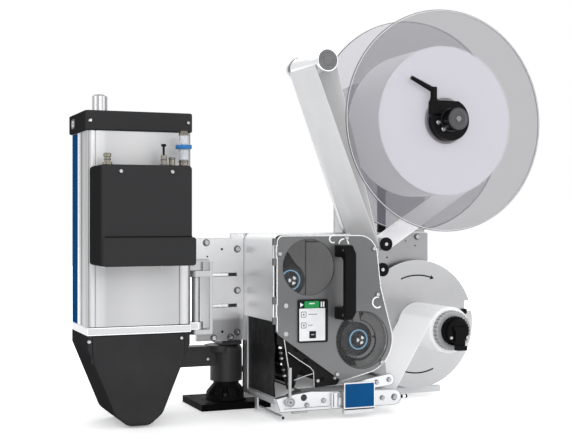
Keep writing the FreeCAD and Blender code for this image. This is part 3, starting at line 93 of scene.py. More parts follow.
class Finish:
    """A material whose colour, roughness and relief come from nodes on Object coordinates. One number is a grey."""

    def __init__(self, name, colour, roughness=0.5, metallic=0, alpha=1, level=0.5):
        self.material = bpy.data.materials.new(name)
        self.material.use_nodes = True
        self.tree = self.material.node_tree
        self.shader = self.tree.nodes["Principled BSDF"]
        self.colour = triple(colour)
        self.roughness = roughness
        fill(self.shader, Base_Color=self.shade(1), Roughness=roughness, Metallic=metallic, Specular_IOR_Level=level,
             Alpha=alpha)
        self.place = self.add("TexCoord").outputs["Object"]

    def add(self, kind, **inputs):
        return fill(self.tree.nodes.new("ShaderNode" + kind), **inputs)

    def join(self, start, end):
        self.tree.links.new(start, end)

    def mapped(self, scale, shift=(0, 0, 0)):
        node = self.add("Mapping", Scale=scale, Location=shift)
        self.join(self.place, node.inputs["Vector"])
        return node.outputs["Vector"]

    def noise(self, scale, detail=3):
        """Noise whose grain is finer along the axes with the larger scale, or even with one number."""
        node = self.add("TexNoise", Scale=1, Detail=detail, Roughness=0.6)
        self.join(self.mapped(triple(scale)), node.inputs["Vector"])
        return node.outputs["Fac"]

    def distance(self, centre=None):
        """How far a point is from the origin, or from an axis along Y through the centre (x, z) in millimetres."""
        length = self.add("VectorMath")
        length.operation = "LENGTH"
        place = self.mapped((1, 0, 1), (-centre[0] * MM, 0, -centre[1] * MM)) if centre else self.place
        self.join(place, length.inputs[0])
        return length.outputs["Value"]

    def rings(self, centre, pitch):
        """Fine turned or wound lines about an axis along Y."""
        line = self.add("TexNoise", Scale=1 / pitch, Detail=2)
        line.noise_dimensions = "1D"
        self.join(self.distance(centre), line.inputs["W"])
        return line.outputs["Fac"]

    def ramped(self, value, stops):
        """A soft change of tone with a value: stops are (value, share of the colour)."""
        first, last = stops[0][0], stops[-1][0]
        reach = self.add("MapRange", From_Min=first, From_Max=last)
        self.join(value, reach.inputs["Value"])
        ramp = self.add("ValToRGB")
        ramp.color_ramp.interpolation = "EASE"
        points = ramp.color_ramp.elements
        while len(points) < len(stops):
            points.new(0.5)
        for point, (where, share) in zip(points, stops):
            point.position = (where - first) / (last - first)
        for point, (where, share) in zip(points, stops):
            point.color = self.shade(share)
        return self.coloured(reach.outputs["Result"], ramp)

    def coloured(self, factor, ramp):
        self.join(factor, ramp.inputs["Fac"])
        self.join(ramp.outputs["Color"], self.shader.inputs["Base Color"])
        return self

    def shade(self, share):
        return (*[min(1, value * share) for value in self.colour], 1)

    def across(self, axis, stops):
        """A change of tone along an axis: stops are (metres, share of the colour)."""
        split = self.add("SeparateXYZ")
        self.join(self.place, split.inputs[0])
        return self.ramped(split.outputs["XYZ".index(axis)], stops)

    def glow(self, strength, colour=(1, 1, 1)):
        """Painted light: emission that makes paper, bright edges, glints and the backdrop wall brighter than the lamps
        do.
        """
        fill(self.shader, Emission_Color=(*colour, 1), Emission_Strength=strength)
        return self

    def tint(self, factor, spread):
        """The colour runs from darker to lighter by the given share."""
        ramp = self.add("ValToRGB")
        for end, where, share in zip(ramp.color_ramp.elements, NOISE_RANGE, (1 - spread, 1 + spread)):
            end.position = where
            end.color = self.shade(share)
        return self.coloured(factor, ramp)

    def sheen_break(self, factor, spread):
        """The roughness varies about its value by the given amount."""
        low, high = max(0.02, self.roughness - spread), min(1, self.roughness + spread)
        first, last = NOISE_RANGE
        node = self.add("MapRange", From_Min=first, From_Max=last, To_Min=low, To_Max=high)
        self.join(factor, node.inputs["Value"])
        self.join(node.outputs["Result"], self.shader.inputs["Roughness"])
        return self

    def relief(self, factor, depth, strength=0.5):
        """A fine unevenness, its depth in micrometres."""
        bump = self.add("Bump", Strength=strength, Distance=depth * MICRON)
        self.join(factor, bump.inputs["Height"])
        self.join(bump.outputs["Normal"], self.shader.inputs["Normal"])
        return self


def brushed(name, colour, scale, roughness=0.32, metallic=0.9):
    """Metal with fine straight lines across the axes that have the larger scale."""
    made = Finish(name, colour, roughness, metallic)
    lines = made.noise(scale, 4)
    clouds = made.noise(9, 2)
    return made.tint(clouds, 0.03).sheen_break(lines, 0.06).relief(lines, 12, 0.3)


def moulded(name, colour, roughness=0.5, grain=1400, depth=50, level=0.5, metallic=0):
    """Moulded plastic or powder paint with a fine even grain and faint mottling."""
    made = Finish(name, colour, roughness, metallic, level=level)
    fine = made.noise(grain, 2)
    clouds = made.noise(14, 3)
    return made.tint(clouds, 0.12).sheen_break(made.noise(60, 3), 0.08).relief(fine, depth)


def wound(name, colour, centre, pitch, roughness, spread, metallic=0):
    """Turned metal, or paper and film wound about an axis along Y."""
    made = Finish(name, colour, roughness, metallic)
    lines = made.rings(centre, pitch)
    return made.tint(lines, spread).sheen_break(made.noise(40, 2), 0.06).relief(lines, 50)


def see_through(name, colour, alpha, roughness=0.08, level=0.5):
    made = Finish(name, colour, roughness, alpha=alpha, level=level)
    smears = made.noise(30, 3)
    return made.tint(smears, 0.03).sheen_break(smears, 0.04)


def strip(name, colour, roughness, strength):
    """Thin paper with fibres along its length, brightened by a painted glow."""
    made = Finish(name, colour, roughness).glow(strength)
    return made.tint(made.noise((90, 900, 90)), 0.02)


PLATE_METAL = brushed("plate_metal", (0.245, 0.245, 0.25), (30, 30, 1600), 0.36)
SLIDE_METAL = brushed("slide_metal", (0.54, 0.54, 0.55), (30, 30, 1600), 0.36)
# Painted shade: the slide metal is much darker below about 0.16 m.
SLIDE_METAL.across("Z", [(0.12, 0.5), (0.158, 0.56), (0.166, 0.93), (0.24, 0.9), (0.312, 1.05)])
COVER_METAL = brushed("cover_metal", (0.8, 0.805, 0.81), (25, 25, 1200), 0.36, 0.8)
# Painted reflections: light and dark bands up the side cover, darkest at the top.
COVER_METAL.across("Z", [(0.16, 1.25), (0.2, 1.25), (0.238, 0.98), (0.262, 1.1), (0.292, 1.15), (0.312, 1.08),
                         (0.3162, 0.62)])
HOUSING_METAL = brushed("housing_metal", (0.5, 0.505, 0.51), (25, 25, 1200), 0.44, 0.7)
BAR_METAL = brushed("bar_metal", (0.66, 0.67, 0.68), (20, 900, 900), 0.34)
BRACKET_METAL = brushed("bracket_metal", (0.38, 0.385, 0.39), (700, 700, 20), 0.36)
COLUMN_METAL = brushed("column_metal", (0.415, 0.415, 0.42), (1100, 1100, 12), 0.42, 0.7)
# Painted reflections: light and dark vertical bands across the column.
COLUMN_METAL.across("X", [(-0.294, 0.9), (-0.284, 1.25), (-0.268, 1.1), (-0.262, 0.95), (-0.215, 1.05), (-0.14, 0.95),
                          (-0.132, 1.3), (-0.12, 0.9)])
TRIM_METAL = brushed("trim_metal", (0.76, 0.77, 0.78), 300, 0.28)
ARM_METAL = brushed("arm_metal", (0.52, 0.53, 0.54), (700, 700, 25), 0.4, 0.8)
STEEL = brushed("ground_steel", (0.42, 0.42, 0.43), (200, 1500, 200), 0.26, 1)
DARK_STEEL = brushed("dark_steel", (0.14, 0.14, 0.145), 400, 0.3, 1)
NICKEL = brushed("nickel_brass", (0.21, 0.195, 0.155), (900, 900, 200), 0.22, 1)
DISC_METAL = wound("disc_metal", (0.45, 0.45, 0.455), REWIND, 0.0012, 0.38, 0.015, 0.75)
# Painted shade: the rewind disc is darker towards its top.
DISC_METAL.across("Z", [(0.016, 1), (0.12, 1), (0.19, 0.74), (0.266, 0.82)])
SHAFT_STEEL = wound("shaft_steel", (0.055, 0.055, 0.058), REEL, 0.0006, 0.34, 0.2, 1)
BASE_BLACK = moulded("base_black", 0.002, 0.6, 900, 100, 0.04)
FOOT_BLACK = moulded("foot_black", 0.007, 0.5, 900, 120, 0.05)
CAST_BLACK = moulded("cast_black", (0.028, 0.028, 0.029), 0.44, 900, 120, 0.3)
BRACKET_BLACK = moulded("bracket_black", (0.009, 0.009, 0.0095), 0.44, 900, 80, 0.1)
PLASTIC_BLACK = moulded("plastic_black", (0.006, 0.006, 0.0065), 0.4, 1500, 40, 0.06)
GUARD_BLACK = moulded("guard_black", (0.008, 0.008, 0.0085), 0.5, 900, 60, 0.1)
COVER_BLACK = moulded("cover_black", (0.036, 0.036, 0.037), 0.52, 1300, 60, 0)
BOX_BLACK = moulded("box_black", (0.036, 0.036, 0.037), 0.52, 1300, 60, 0)
# Painted shade: the valve box is darker along its left edge and side.
BOX_BLACK.across("X", [(-0.2912, 0.5), (-0.2868, 1), (-0.138, 1)])
COVER_SHADE = moulded("cover_shade", (0.022, 0.022, 0.023), 0.52, 1300, 60, 0)
CAP_CHARCOAL = moulded("cap_charcoal", (0.036, 0.036, 0.037), 0.52, 1200, 60, 0)
# Painted shade: the cap is darker along its left edge and side.
CAP_CHARCOAL.across("X", [(-0.299, 0.55), (-0.295, 1), (-0.118, 1)])
KNOB_BLACK = moulded("knob_black", (0.004, 0.004, 0.0045), 0.36, 1800, 30, 0.06)
RUBBER = moulded("platen_rubber", 0.03, 0.75, 1600, 60)
DOOR_PAINT = moulded("door_paint", (0.13, 0.131, 0.133), 0.36, 1600, 30, metallic=0.45)
# Painted shade: the door is lighter towards the bottom and darker towards the top.
DOOR_PAINT.across("Z", [(0.066, 1.3), (0.13, 1.15), (0.21, 0.86), (0.316, 0.92)])
# The door's bright metal edge border and hooks, with a painted glow as highlight.
DOOR_EDGE = brushed("door_edge", 0.7, 300, 0.3, 0.6).glow(0.06)
BLUE_TRIM = moulded("blue_trim", (0.006, 0.052, 0.16), 0.5, 1500, 20, 0)
BLUE_FACE = moulded("blue_face", (0, 0.065, 0.2), 0.4, 1500, 20, 0.1)
WHITE_FACE = moulded("white_face", 0.85, 0.4, 1500, 20)
SCREEN_WHITE = moulded("screen_white", (0.74, 0.75, 0.76), 0.22, 2400, 10)
SCREEN_GREEN = moulded("screen_green", (0.01, 0.28, 0.07), 0.3, 2400, 10, 0.2)
DEEP_BLACK = moulded("screen_dark", (0.006, 0.006, 0.007), 0.3, 2400, 10, 0.12)
# The ribbon cores' blue ring, with a painted glow that keeps it bright behind the smoked panes.
RING_BLUE = moulded("ring_blue", (0.3, 0.62, 0.9), 0.3, 1500, 30).glow(0.6, (0.35, 0.7, 1))
# Painted light: a grey that glows, for the backdrop wall behind the upper window and the painted reflection lines in
# the lower window; the screen button's printed line uses it too.
INNER_GREY = moulded("inner_grey", 0.36, 0.5, 900, 40).glow(0.12)
# INNER_MID and INNER_DARK are for the sheets of painted shade behind the panes, INNER_SOFT for the painted reflection
# in the lower window; INNER_DARK also paints the shadow under the valve box's lip.
INNER_MID = moulded("inner_mid", 0.04, 0.5, 900, 40, 0.2)
INNER_SOFT = moulded("inner_soft", 0.33, 0.5, 900, 40)
INNER_DARK = moulded("inner_dark", 0.006, 0.5, 900, 40, 0.05)
# Bright metal with a painted glow as highlight: the roll's edge ring and every third hose nut.
NOSE_BRIGHT = moulded("nose_bright", (0.85, 0.85, 0.86), 0.25, 900, 20).glow(0.35)
GLINT = moulded("glint", 0.9, 0.2, 900, 20).glow(0.9)
CORE_BOARD = moulded("core_board", (0.42, 0.36, 0.3), 0.7)
CORE_CLEAR = moulded("core_clear", (0.36, 0.365, 0.37), 0.3, 700, 80)
# Painted light: the roll's paper glows, its flat faces take a copy with a stronger glow, and the wound liner glows too.
ROLL_PAPER = wound("roll_paper", (0.74, 0.72, 0.77), REEL, 0.0009, 0.55, 0.03).glow(0.35)
ROLL_FACE = wound("roll_face", (0.74, 0.72, 0.78), REEL, 0.0009, 0.55, 0.03).glow(0.55)
LINER_PAPER = wound("liner_paper", (0.82, 0.82, 0.83), REWIND, 0.0009, 0.42, 0.03).glow(0.12)
FILM = wound("ribbon_film", (0.03, 0.03, 0.034), RIBBON_SUPPLY, 0.0008, 0.3, 0.3)
FILM_USED = wound("ribbon_film_used", 0.06, RIBBON_TAKEUP, 0.0008, 0.3, 0.3)
# Painted shade: both flanges are one clear plastic, but the front one takes a darker copy, darker again outside the
# roll.
CLEAR = see_through("clear_flange", (0.4, 0.39, 0.45), 0.28, level=0.25)
CLEAR_FRONT = see_through("clear_flange_front", (0.305, 0.295, 0.345), 0.35, level=0.25)
CLEAR_FRONT.ramped(CLEAR_FRONT.distance(REEL), [(0, 1), (0.1335, 1), (0.1365, 0.42), (0.2, 0.42)])
# The clear flanges' edges: a painted highlight as the light inner ring and painted shade as the dark outer ring.
RIM_DARK = moulded("flange_rim_dark", (0.17, 0.165, 0.19), 0.6, 1500, 20, 0)
RIM_LIGHT = see_through("flange_rim_light", (0.8, 0.8, 0.82), 0.75)
CLEAR_EDGE = see_through("clear_support_edge", (0.3, 0.3, 0.33), 0.92)
SUPPORT_CLEAR = see_through("clear_support", (0.62, 0.62, 0.66), 0.36)
# Painted shade: the support plate is darker to the right of about 0.3 m.
SUPPORT_CLEAR.across("X", [(0.205, 1), (0.292, 1), (0.308, 0.42), (0.398, 0.45)])
SMOKED = see_through("smoked_pane", (0.06, 0.06, 0.062), 0.3, 0.05, 0.2)
BOWL = see_through("bowl_plastic", (0.62, 0.66, 0.7), 0.42, 0.1)
BAND_METAL = brushed("band_metal", (0.48, 0.485, 0.49), (10, 10, 900), 0.34, 0.8)
BOWL_BLUE = moulded("bowl_ring_blue", (0.01, 0.16, 0.42), 0.3, 1500, 20, 0.3)
PANE_RIM = moulded("pane_rim", (0.06, 0.06, 0.062), 0.3, 1500, 20)
# Painted light: the web, the liner and the web's lit stretch all glow.
WEB = Finish("web_paper", (0.58, 0.58, 0.585), 0.45, level=0.3).glow(0.15)
FIBRES = WEB.noise((90, 900, 90))
WEB.tint(FIBRES, 0.025).sheen_break(WEB.noise(25, 2), 0.1).relief(FIBRES, 20)
LINER = strip("liner_strip", (0.86, 0.86, 0.87), 0.4, 0.19)
WEB_LIT = strip("web_lit", (0.78, 0.78, 0.79), 0.45, 0.28)


# Mesh tools

def show(name, mesh, finish, body):
    """Puts a mesh in the scene with its finish and lets it move with a body."""
    piece = bpy.data.objects.new(name, mesh)
    bpy.context.scene.collection.objects.link(piece)
    if finish:
        mesh.materials.clear()
        mesh.materials.append(finish.material)
    if body:
        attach(piece, body)
    return piece


def settled(source):
    """The mesh of an object with its modifiers, without the object."""
    bpy.context.scene.collection.objects.link(source)
    mesh = bpy.data.meshes.new_from_object(source.evaluated_get(bpy.context.evaluated_depsgraph_get()))
    bpy.data.objects.remove(source)
    return mesh


def smooth(mesh, angle=32):
    mesh.polygons.foreach_set("use_smooth", [True] * len(mesh.polygons))
    mesh.set_sharp_from_angle(angle=radians(angle))


def soften(piece, width, segments=2, angle=32, edge_finish=None):
    """Rounds the edges of a piece by a width in millimetres, with a finish of their own where one is given."""
    bevel = piece.modifiers.new("rounded_edges", "BEVEL")
    bevel.width = width * MM
    bevel.segments = segments
    bevel.limit_method = "ANGLE"
    bevel.angle_limit = radians(angle)
    bevel.harden_normals = True
    if edge_finish:
        piece.data.materials.append(edge_finish.material)
        bevel.material = 1
    return piece


def dress(node, finish, width, segments=2, angle=32, edge_finish=None, rides=True, rim=None, spare=()):
    """A merged and softened copy of a CAD node that is shown in the node's place, in millimetres.

    rim gives its front faces a narrow border: (finish, width, whether the sides take it too).
    spare lists circles (x, z, radius) whose borders keep the plain finish.
    """
    work = bmesh.new()
    work.from_mesh(NODES[node].data)
    bmesh.ops.remove_doubles(work, verts=work.verts, dist=0.000002)
    bmesh.ops.dissolve_limit(work, angle_limit=radians(0.6), verts=work.verts, edges=work.edges)
    if rim:
        front = [face for face in work.faces if face.normal.y < -0.99]
        inset = bmesh.ops.inset_region(
            work, faces=front, thickness=rim[1] * MM, use_boundary=True, use_even_offset=True)
        border = inset["faces"]
        if rim[2]:
            border += [face for face in work.faces if abs(face.normal.y) < 0.9]
        for face in border:
            spot = face.calc_center_median()
            if all(hypot(spot.x / MM - x, spot.z / MM - z) > radius for x, z, radius in spare):
                face.material_index = 1
    mesh = bpy.data.meshes.new(node + "_dressed")
    work.to_mesh(mesh)
    work.free()
    smooth(mesh, angle)
    shares = [face.material_index for face in mesh.polygons]
    piece = show(node + "_dressed", mesh, finish, BODY_OF[node] if rides else None)
    if rim:
        mesh.materials.append(rim[0].material)
        mesh.polygons.foreach_set("material_index", shares)
    if width:
        soften(piece, width, segments, angle, edge_finish)
    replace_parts(piece, node)
    return piece


def closed(work, name, finish, body, angle=32):
    bmesh.ops.remove_doubles(work, verts=work.verts, dist=0.0000005)
    bmesh.ops.recalc_face_normals(work, faces=work.faces)
    mesh = bpy.data.meshes.new(name)
    work.to_mesh(mesh)
    work.free()
    smooth(mesh, angle)
    return show(name, mesh, finish, body)


def placed(first, second, along, axis):
    """A point in metres from two coordinates across an axis and one along it, in millimetres."""
    order = {"X": (along, first, second), "Y": (first, along, second), "Z": (first, second, along)}[axis]
    return [value * MM for value in order]


def lathe(name, centre, profile, finish, body, steps=96, axis="Y"):
    """A turned piece: the profile is a closed list of (radius, distance along the axis), in millimetres."""
    work = bmesh.new()
    circles = []
    for radius, along in profile:
        circle = []
        for step in range(steps if radius > 0 else 1):
            turn = 2 * pi * step / steps
            first, second = centre[0] + radius * cos(turn), centre[1] + radius * sin(turn)
            circle.append(work.verts.new(placed(first, second, along, axis)))
        circles.append(circle)
    for first, second in zip(circles, circles[1:] + circles[:1]):
        for step in range(steps):
            after = (step + 1) % steps
            corners = [first[step % len(first)], first[after % len(first)],
                       second[after % len(second)], second[step % len(second)]]
            distinct = list(dict.fromkeys(corners))
            if len(distinct) > 2:
                work.faces.new(distinct)
    return closed(work, name, finish, body)


def ring(inner, outer, low, high):
    """The profile of a plain ring, or of a disc where inner is 0."""
    return [(inner, low), (outer, low), (outer, high), (inner, high)]


def stud(small, large, front, shoulder, back):
    """The profile of a round head whose front is narrower than its shoulder."""
    return [(0, front), (small, front), (large, shoulder), (large, back), (0, back)]


def slab(name, outline, start, depth, finish, body="machine", width=0, facing="Y"):
    """A plate from an outline in millimetres, pushed from start along the facing axis."""
    work = bmesh.new()
    low = [work.verts.new(placed(a, b, start, facing)) for a, b in outline]
    high = [work.verts.new(placed(a, b, start + depth, facing)) for a, b in outline]
    work.faces.new(low)
    work.faces.new(list(reversed(high)))
    count = len(outline)
    for index in range(count):
        after = (index + 1) % count
        work.faces.new([low[index], low[after], high[after], high[index]])
    piece = closed(work, name, finish, body)
    if width:
        soften(piece, width)
    return piece


def paint(piece, finish, chosen):
    """Gives the chosen faces a finish of their own."""
    slots = piece.data.materials
    slots.append(finish.material)
    for face in piece.data.polygons:
        if chosen(face):
            face.material_index = len(slots) - 1


def arc(centre, radius, first, last, steps=12):
    """Points in millimetres along an arc, angles in degrees."""
    return [(centre[0] + radius * cos(radians(first + (last - first) * step / steps)),
             centre[1] + radius * sin(radians(first + (last - first) * step / steps)))
            for step in range(steps + 1)]


def rounded(left, bottom, right, top, radius):
    """A rectangle with round corners, in millimetres."""
    spots = []
    for centre, first in (((right - radius, top - radius), 0), ((left + radius, top - radius), 90),
                          ((left + radius, bottom + radius), 180), ((right - radius, bottom + radius), 270)):
        spots += arc(centre, radius, first, first + 90, 5)
    return spots


def band(line, width):
    """The outline of a strip of even width along a line, in millimetres."""
    left, right = [], []
    for index, (x, z) in enumerate(line):
        before = Vector(line[max(0, index - 1)])
        after = Vector(line[min(len(line) - 1, index + 1)])
        along = (after - before).normalized()
        side = Vector((-along.y, along.x)) * width / 2
        left.append((x + side.x, z + side.y))
        right.append((x - side.x, z - side.y))
    return left + right[::-1]


def tube(name, route, radius, finish, body="machine"):
    """A round rod or pipe along points in millimetres."""
    curve = bpy.data.curves.new(name, "CURVE")
    curve.dimensions = "3D"
    curve.bevel_depth = radius * MM
    curve.bevel_resolution = 4
    curve.use_fill_caps = True
    line = curve.splines.new("POLY")
    line.points.add(len(route) - 1)
    for point, spot in zip(line.points, route):
        point.co = (*[value * MM for value in spot], 1)
    mesh = settled(bpy.data.objects.new(name + "_line", curve))
    smooth(mesh, 40)
    return show(name, mesh, finish, body)


# Repeats in Geometry Nodes

NUMBER, WHOLE, VECTOR, SHAPE = "NodeSocketFloat", "NodeSocketInt", "NodeSocketVector", "NodeSocketGeometry"
FORWARD = (pi / 2, 0, 0)


class Pattern:
    """A node tree that makes what repeats, with named inputs for its sizes in metres."""

    def __init__(self, name, **kinds):
        self.tree = bpy.data.node_groups.new(name, "GeometryNodeTree")
        sockets = self.tree.interface
        sockets.new_socket("Geometry", in_out="INPUT", socket_type=SHAPE)
        sockets.new_socket("Geometry", in_out="OUTPUT", socket_type=SHAPE)
        self.inputs = {word: sockets.new_socket(word.replace("_", " "), in_out="INPUT", socket_type=kind)
                       for word, kind in kinds.items()}
        self.start = self.tree.nodes.new("NodeGroupInput").outputs

    def add(self, kind, links, **values):
        """The first output of a new node; a kind without the word Node is a geometry node."""
        node = self.tree.nodes.new(kind if "Node" in kind else "GeometryNode" + kind)
        for name, value in values.items():
            setattr(node, name, value)
        for name, source in links.items():
            socket = node.inputs[name]
            if isinstance(source, bpy.types.NodeSocket):
                self.tree.links.new(source, socket)
            else:
                socket.default_value = source
        return node.outputs[0]

    def repeat(self, points, shape, turn=(0, 0, 0)):
        return self.add("InstanceOnPoints", {"Points": points, "Instance": shape, "Rotation": turn})

    def close(self, geometry):
        real = self.add("RealizeInstances", {"Geometry": geometry})
        self.tree.links.new(real, self.tree.nodes.new("NodeGroupOutput").inputs[0])
        return self

    def make(self, name, finish, body, places, **sizes):
        """Runs the tree on points in millimetres and keeps its result as a plain mesh."""
        seed = bpy.data.meshes.new(name + "_places")
        seed.from_pydata([[value * MM for value in spot] for spot in places], [], [])
        source = bpy.data.objects.new(name + "_source", seed)
        modifier = source.modifiers.new("pattern", "NODES")
        modifier.node_group = self.tree
        for word, value in sizes.items():
            modifier[self.inputs[word].identifier] = value
        mesh = settled(source)
        smooth(mesh, 35)
        return show(name, mesh, finish, body)


def screw_pattern():
    """Button heads with a hexagon socket, standing towards the front on each point."""
    made = Pattern("screw_heads", Head_radius=NUMBER, Head_height=NUMBER, Socket_radius=NUMBER)
    radius, height = made.start["Head radius"], made.start["Head height"]
    top = made.add("ShaderNodeMath", {0: radius, 1: 0.72}, operation="MULTIPLY")
    head = made.add("MeshCone", {"Vertices": 28, "Radius Top": top, "Radius Bottom": radius, "Depth": height})
    socket = made.add("MeshCylinder", {"Vertices": 6, "Radius": made.start["Socket radius"], "Depth": height})
    lift = made.add("ShaderNodeMath", {0: height, 1: 0.9}, operation="MULTIPLY")
    offset = made.add("ShaderNodeCombineXYZ", {"Z": lift})
    moved = made.add("Transform", {"Geometry": socket, "Translation": offset})
    drilled = made.add("MeshBoolean", {"Mesh 1": head, "Mesh 2": moved}, operation="DIFFERENCE")
    return made.close(made.repeat(made.start[0], drilled, FORWARD))


def round_pattern():
    """Ribs that stand evenly round an axis along Y at each point."""
    made = Pattern("ring_ribs", Count=WHOLE, Ring_radius=NUMBER, Rib_width=NUMBER, Rib_length=NUMBER, Rib_rise=NUMBER)
    circle = made.add("MeshCircle", {"Vertices": made.start["Count"], "Radius": made.start["Ring radius"]})
    rise, width, length = [made.start[word] for word in ("Rib rise", "Rib width", "Rib length")]
    size = made.add("ShaderNodeCombineXYZ", {"X": rise, "Y": width, "Z": length})
    rib = made.add("MeshCube", {"Size": size, "Vertices X": 2, "Vertices Y": 2, "Vertices Z": 2})
    outward = made.add("InputPosition", {})
    turn = made.add("FunctionNodeAlignEulerToVector", {"Vector": outward}, axis="X", pivot_axis="Z")
    whole = made.add("RealizeInstances", {"Geometry": made.repeat(circle, rib, turn)})
    return made.close(made.repeat(made.start[0], whole, FORWARD))


def row_pattern():
    """Small round studs in a straight row from each point."""
    made = Pattern("stud_row", Count=WHOLE, Step=VECTOR, Stud_radius=NUMBER, Stud_height=NUMBER)
    line = made.add("MeshLine", {"Count": made.start["Count"], "Offset": made.start["Step"]}, mode="OFFSET")
    radius, height = made.start["Stud radius"], made.start["Stud height"]
    round_stud = made.add("MeshCylinder", {"Vertices": 14, "Radius": radius, "Depth": height})
    whole = made.add("RealizeInstances", {"Geometry": made.repeat(line, round_stud)})
    return made.close(made.repeat(made.start[0], whole))


SCREWS, RIBS, STUDS = screw_pattern(), round_pattern(), row_pattern()


def heads(name, body, places, radius, height, socket):
    """Steel screw heads that face the front, all in millimetres."""
    return SCREWS.make(name, STEEL, body, places, Head_radius=radius * MM, Head_height=height * MM,
                       Socket_radius=socket * MM)


def ribs(name, finish, body, centre, along, count, radius, sizes):
    """Ribs round an axis along Y; sizes are a rib's width, length and rise, all in millimetres."""
    width, length, rise = [size * MM for size in sizes]
    RIBS.make(name, finish, body, [(centre[0], along, centre[1])], Count=count, Ring_radius=radius * MM,
              Rib_width=width, Rib_length=length, Rib_rise=rise)


# The machine's pieces

# What only takes a finish and softened edges: finish, edge width, segments, nodes
PLAIN = (
    (BASE_BLACK, 1.2, 3, "base_plate"),
    (FOOT_BLACK, 1.4, 2, "base_flange"),
    (CAST_BLACK, 1.5, 3, "turret_collar"),
    (CAST_BLACK, 2.5, 3, "swivel_head"),
    (CAST_BLACK, 1, 2, "mounting_angle"),
    (PLASTIC_BLACK, 1, 2, "reel_post print_unit"),
    (PLASTIC_BLACK, 1.5, 2, "shaft_bearings"),
    (BAR_METAL, 0.5, 2, "lower_frame air_tube"),
    (GUARD_BLACK, 0.6, 2, "path_guard"),
    (DOOR_PAINT, 0.6, 2, "door_hinges"),
    (HOUSING_METAL, 1.2, 2, "rear_housing"),
    (PLASTIC_BLACK, 0.8, 2, "power_inlet vacuum_pad"),
    (BRACKET_METAL, 1, 2, "tower_hinge"),
    (BRACKET_BLACK, 1, 2, "printhead_bracket"),
    (RUBBER, 0.6, 2, "platen_roller"),
    (BRACKET_METAL, 1.2, 3, "head_lever"),
    (BAR_METAL, 0.8, 2, "front_plate"),
    (PLASTIC_BLACK, 2.6, 3, "door_handle"),
    (SHAFT_STEEL, 0.8, 2, "supply_shaft"),
    (KNOB_BLACK, 1.4, 3, "reel_collar"),
    (KNOB_BLACK, 1.2, 3, "clamp_lever release_wing"),
    (ARM_METAL, 1.6, 3, "dancer_arm"),
    (STEEL, 0.8, 2, "liner_roller"),
    (TRIM_METAL, 0.8, 2, "dancer_roller"),
    (KNOB_BLACK, 1, 2, "rewind_hub"),
    (COLUMN_METAL, 0.6, 2, "tower_housing"),
    (STEEL, 0.6, 2, "guide_rod"),
    (ARM_METAL, 1.2, 2, "applicator_arm"),
    (NICKEL, 0.5, 2, "air_fittings"),
    (BOWL, 0.6, 2, "filter_bowl"),
    (KNOB_BLACK, 0.5, 2, "valve_plunger"),
)


def plain_pieces():
    for finish, width, segments, nodes in PLAIN:
        for node in nodes.split():
            dress(node, finish, width, segments)


def corner(node, side, axis):
    """A coordinate of a node's box, in millimetres."""
    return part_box(node)[side]["xyz".index(axis)] / MM


def stand():
    height = corner("turret_collar", 1, "z") - 6
    profile = [(0, 35.5), (3.2, 35.5), (3.2, 35), (6.2, 35), (6.6, 34.5), (6.6, 30), (0, 30)]
    lathe("collar_clamp_screw", (0, height), profile, STEEL, "stand", 24, "X")
    low = corner("base_flange", 0, "z")
    for index, turn in enumerate((-112, -22, 68, 158)):
        spot = (29 * cos(radians(turn)), 29 * sin(radians(turn)))
        lathe(f"foot_screw_{index}", spot, stud(3.4, 4.2, low + 13, low + 12.2, low + 7), CAST_BLACK, "stand", 24, "Z")
    heads("arm_bolt", "machine", [(-41, -15.9, 87.5)], 3.4, 2, 1.5)


def plates():
    dress("back_plate", PLATE_METAL, 0, rim=(STEEL, 0.9, False))
    slab("rail_front", rounded(314.2, 5.2, 428.8, 16.8, 1), -42.3, 0.5, ARM_METAL)
    dress("applicator_plate", SLIDE_METAL, 0, rim=(STEEL, 0.9, False))
    dress("reel_support_plate", SUPPORT_CLEAR, 0.6, edge_finish=CLEAR_EDGE)
    dress("side_cover", COVER_METAL, 0.5, edge_finish=TRIM_METAL)
    front = corner("back_plate", 0, "y")
    holes = ((-22.4, 288, 2.2), (-58, 232, 2), (-21.6, 139, 2.4), (373, 291, 1.6), (312, 268.7, 1.8),
             (352, 300, 1.4), (-50, 275, 1.6))
    for index, (x, z, radius) in enumerate(holes):
        lathe(f"plate_hole_{index}", (x, z), ring(0, radius, front - 0.1, front + 1), DEEP_BLACK, "machine", 24)
    for index, z in enumerate((186, 242)):
        nut = rounded(-43.5, z - 2.4, -9, z + 2.4, 1)
        slab(f"slot_nut_{index}", nut, front + 3.2, 1.6, TRIM_METAL, width=0.2)


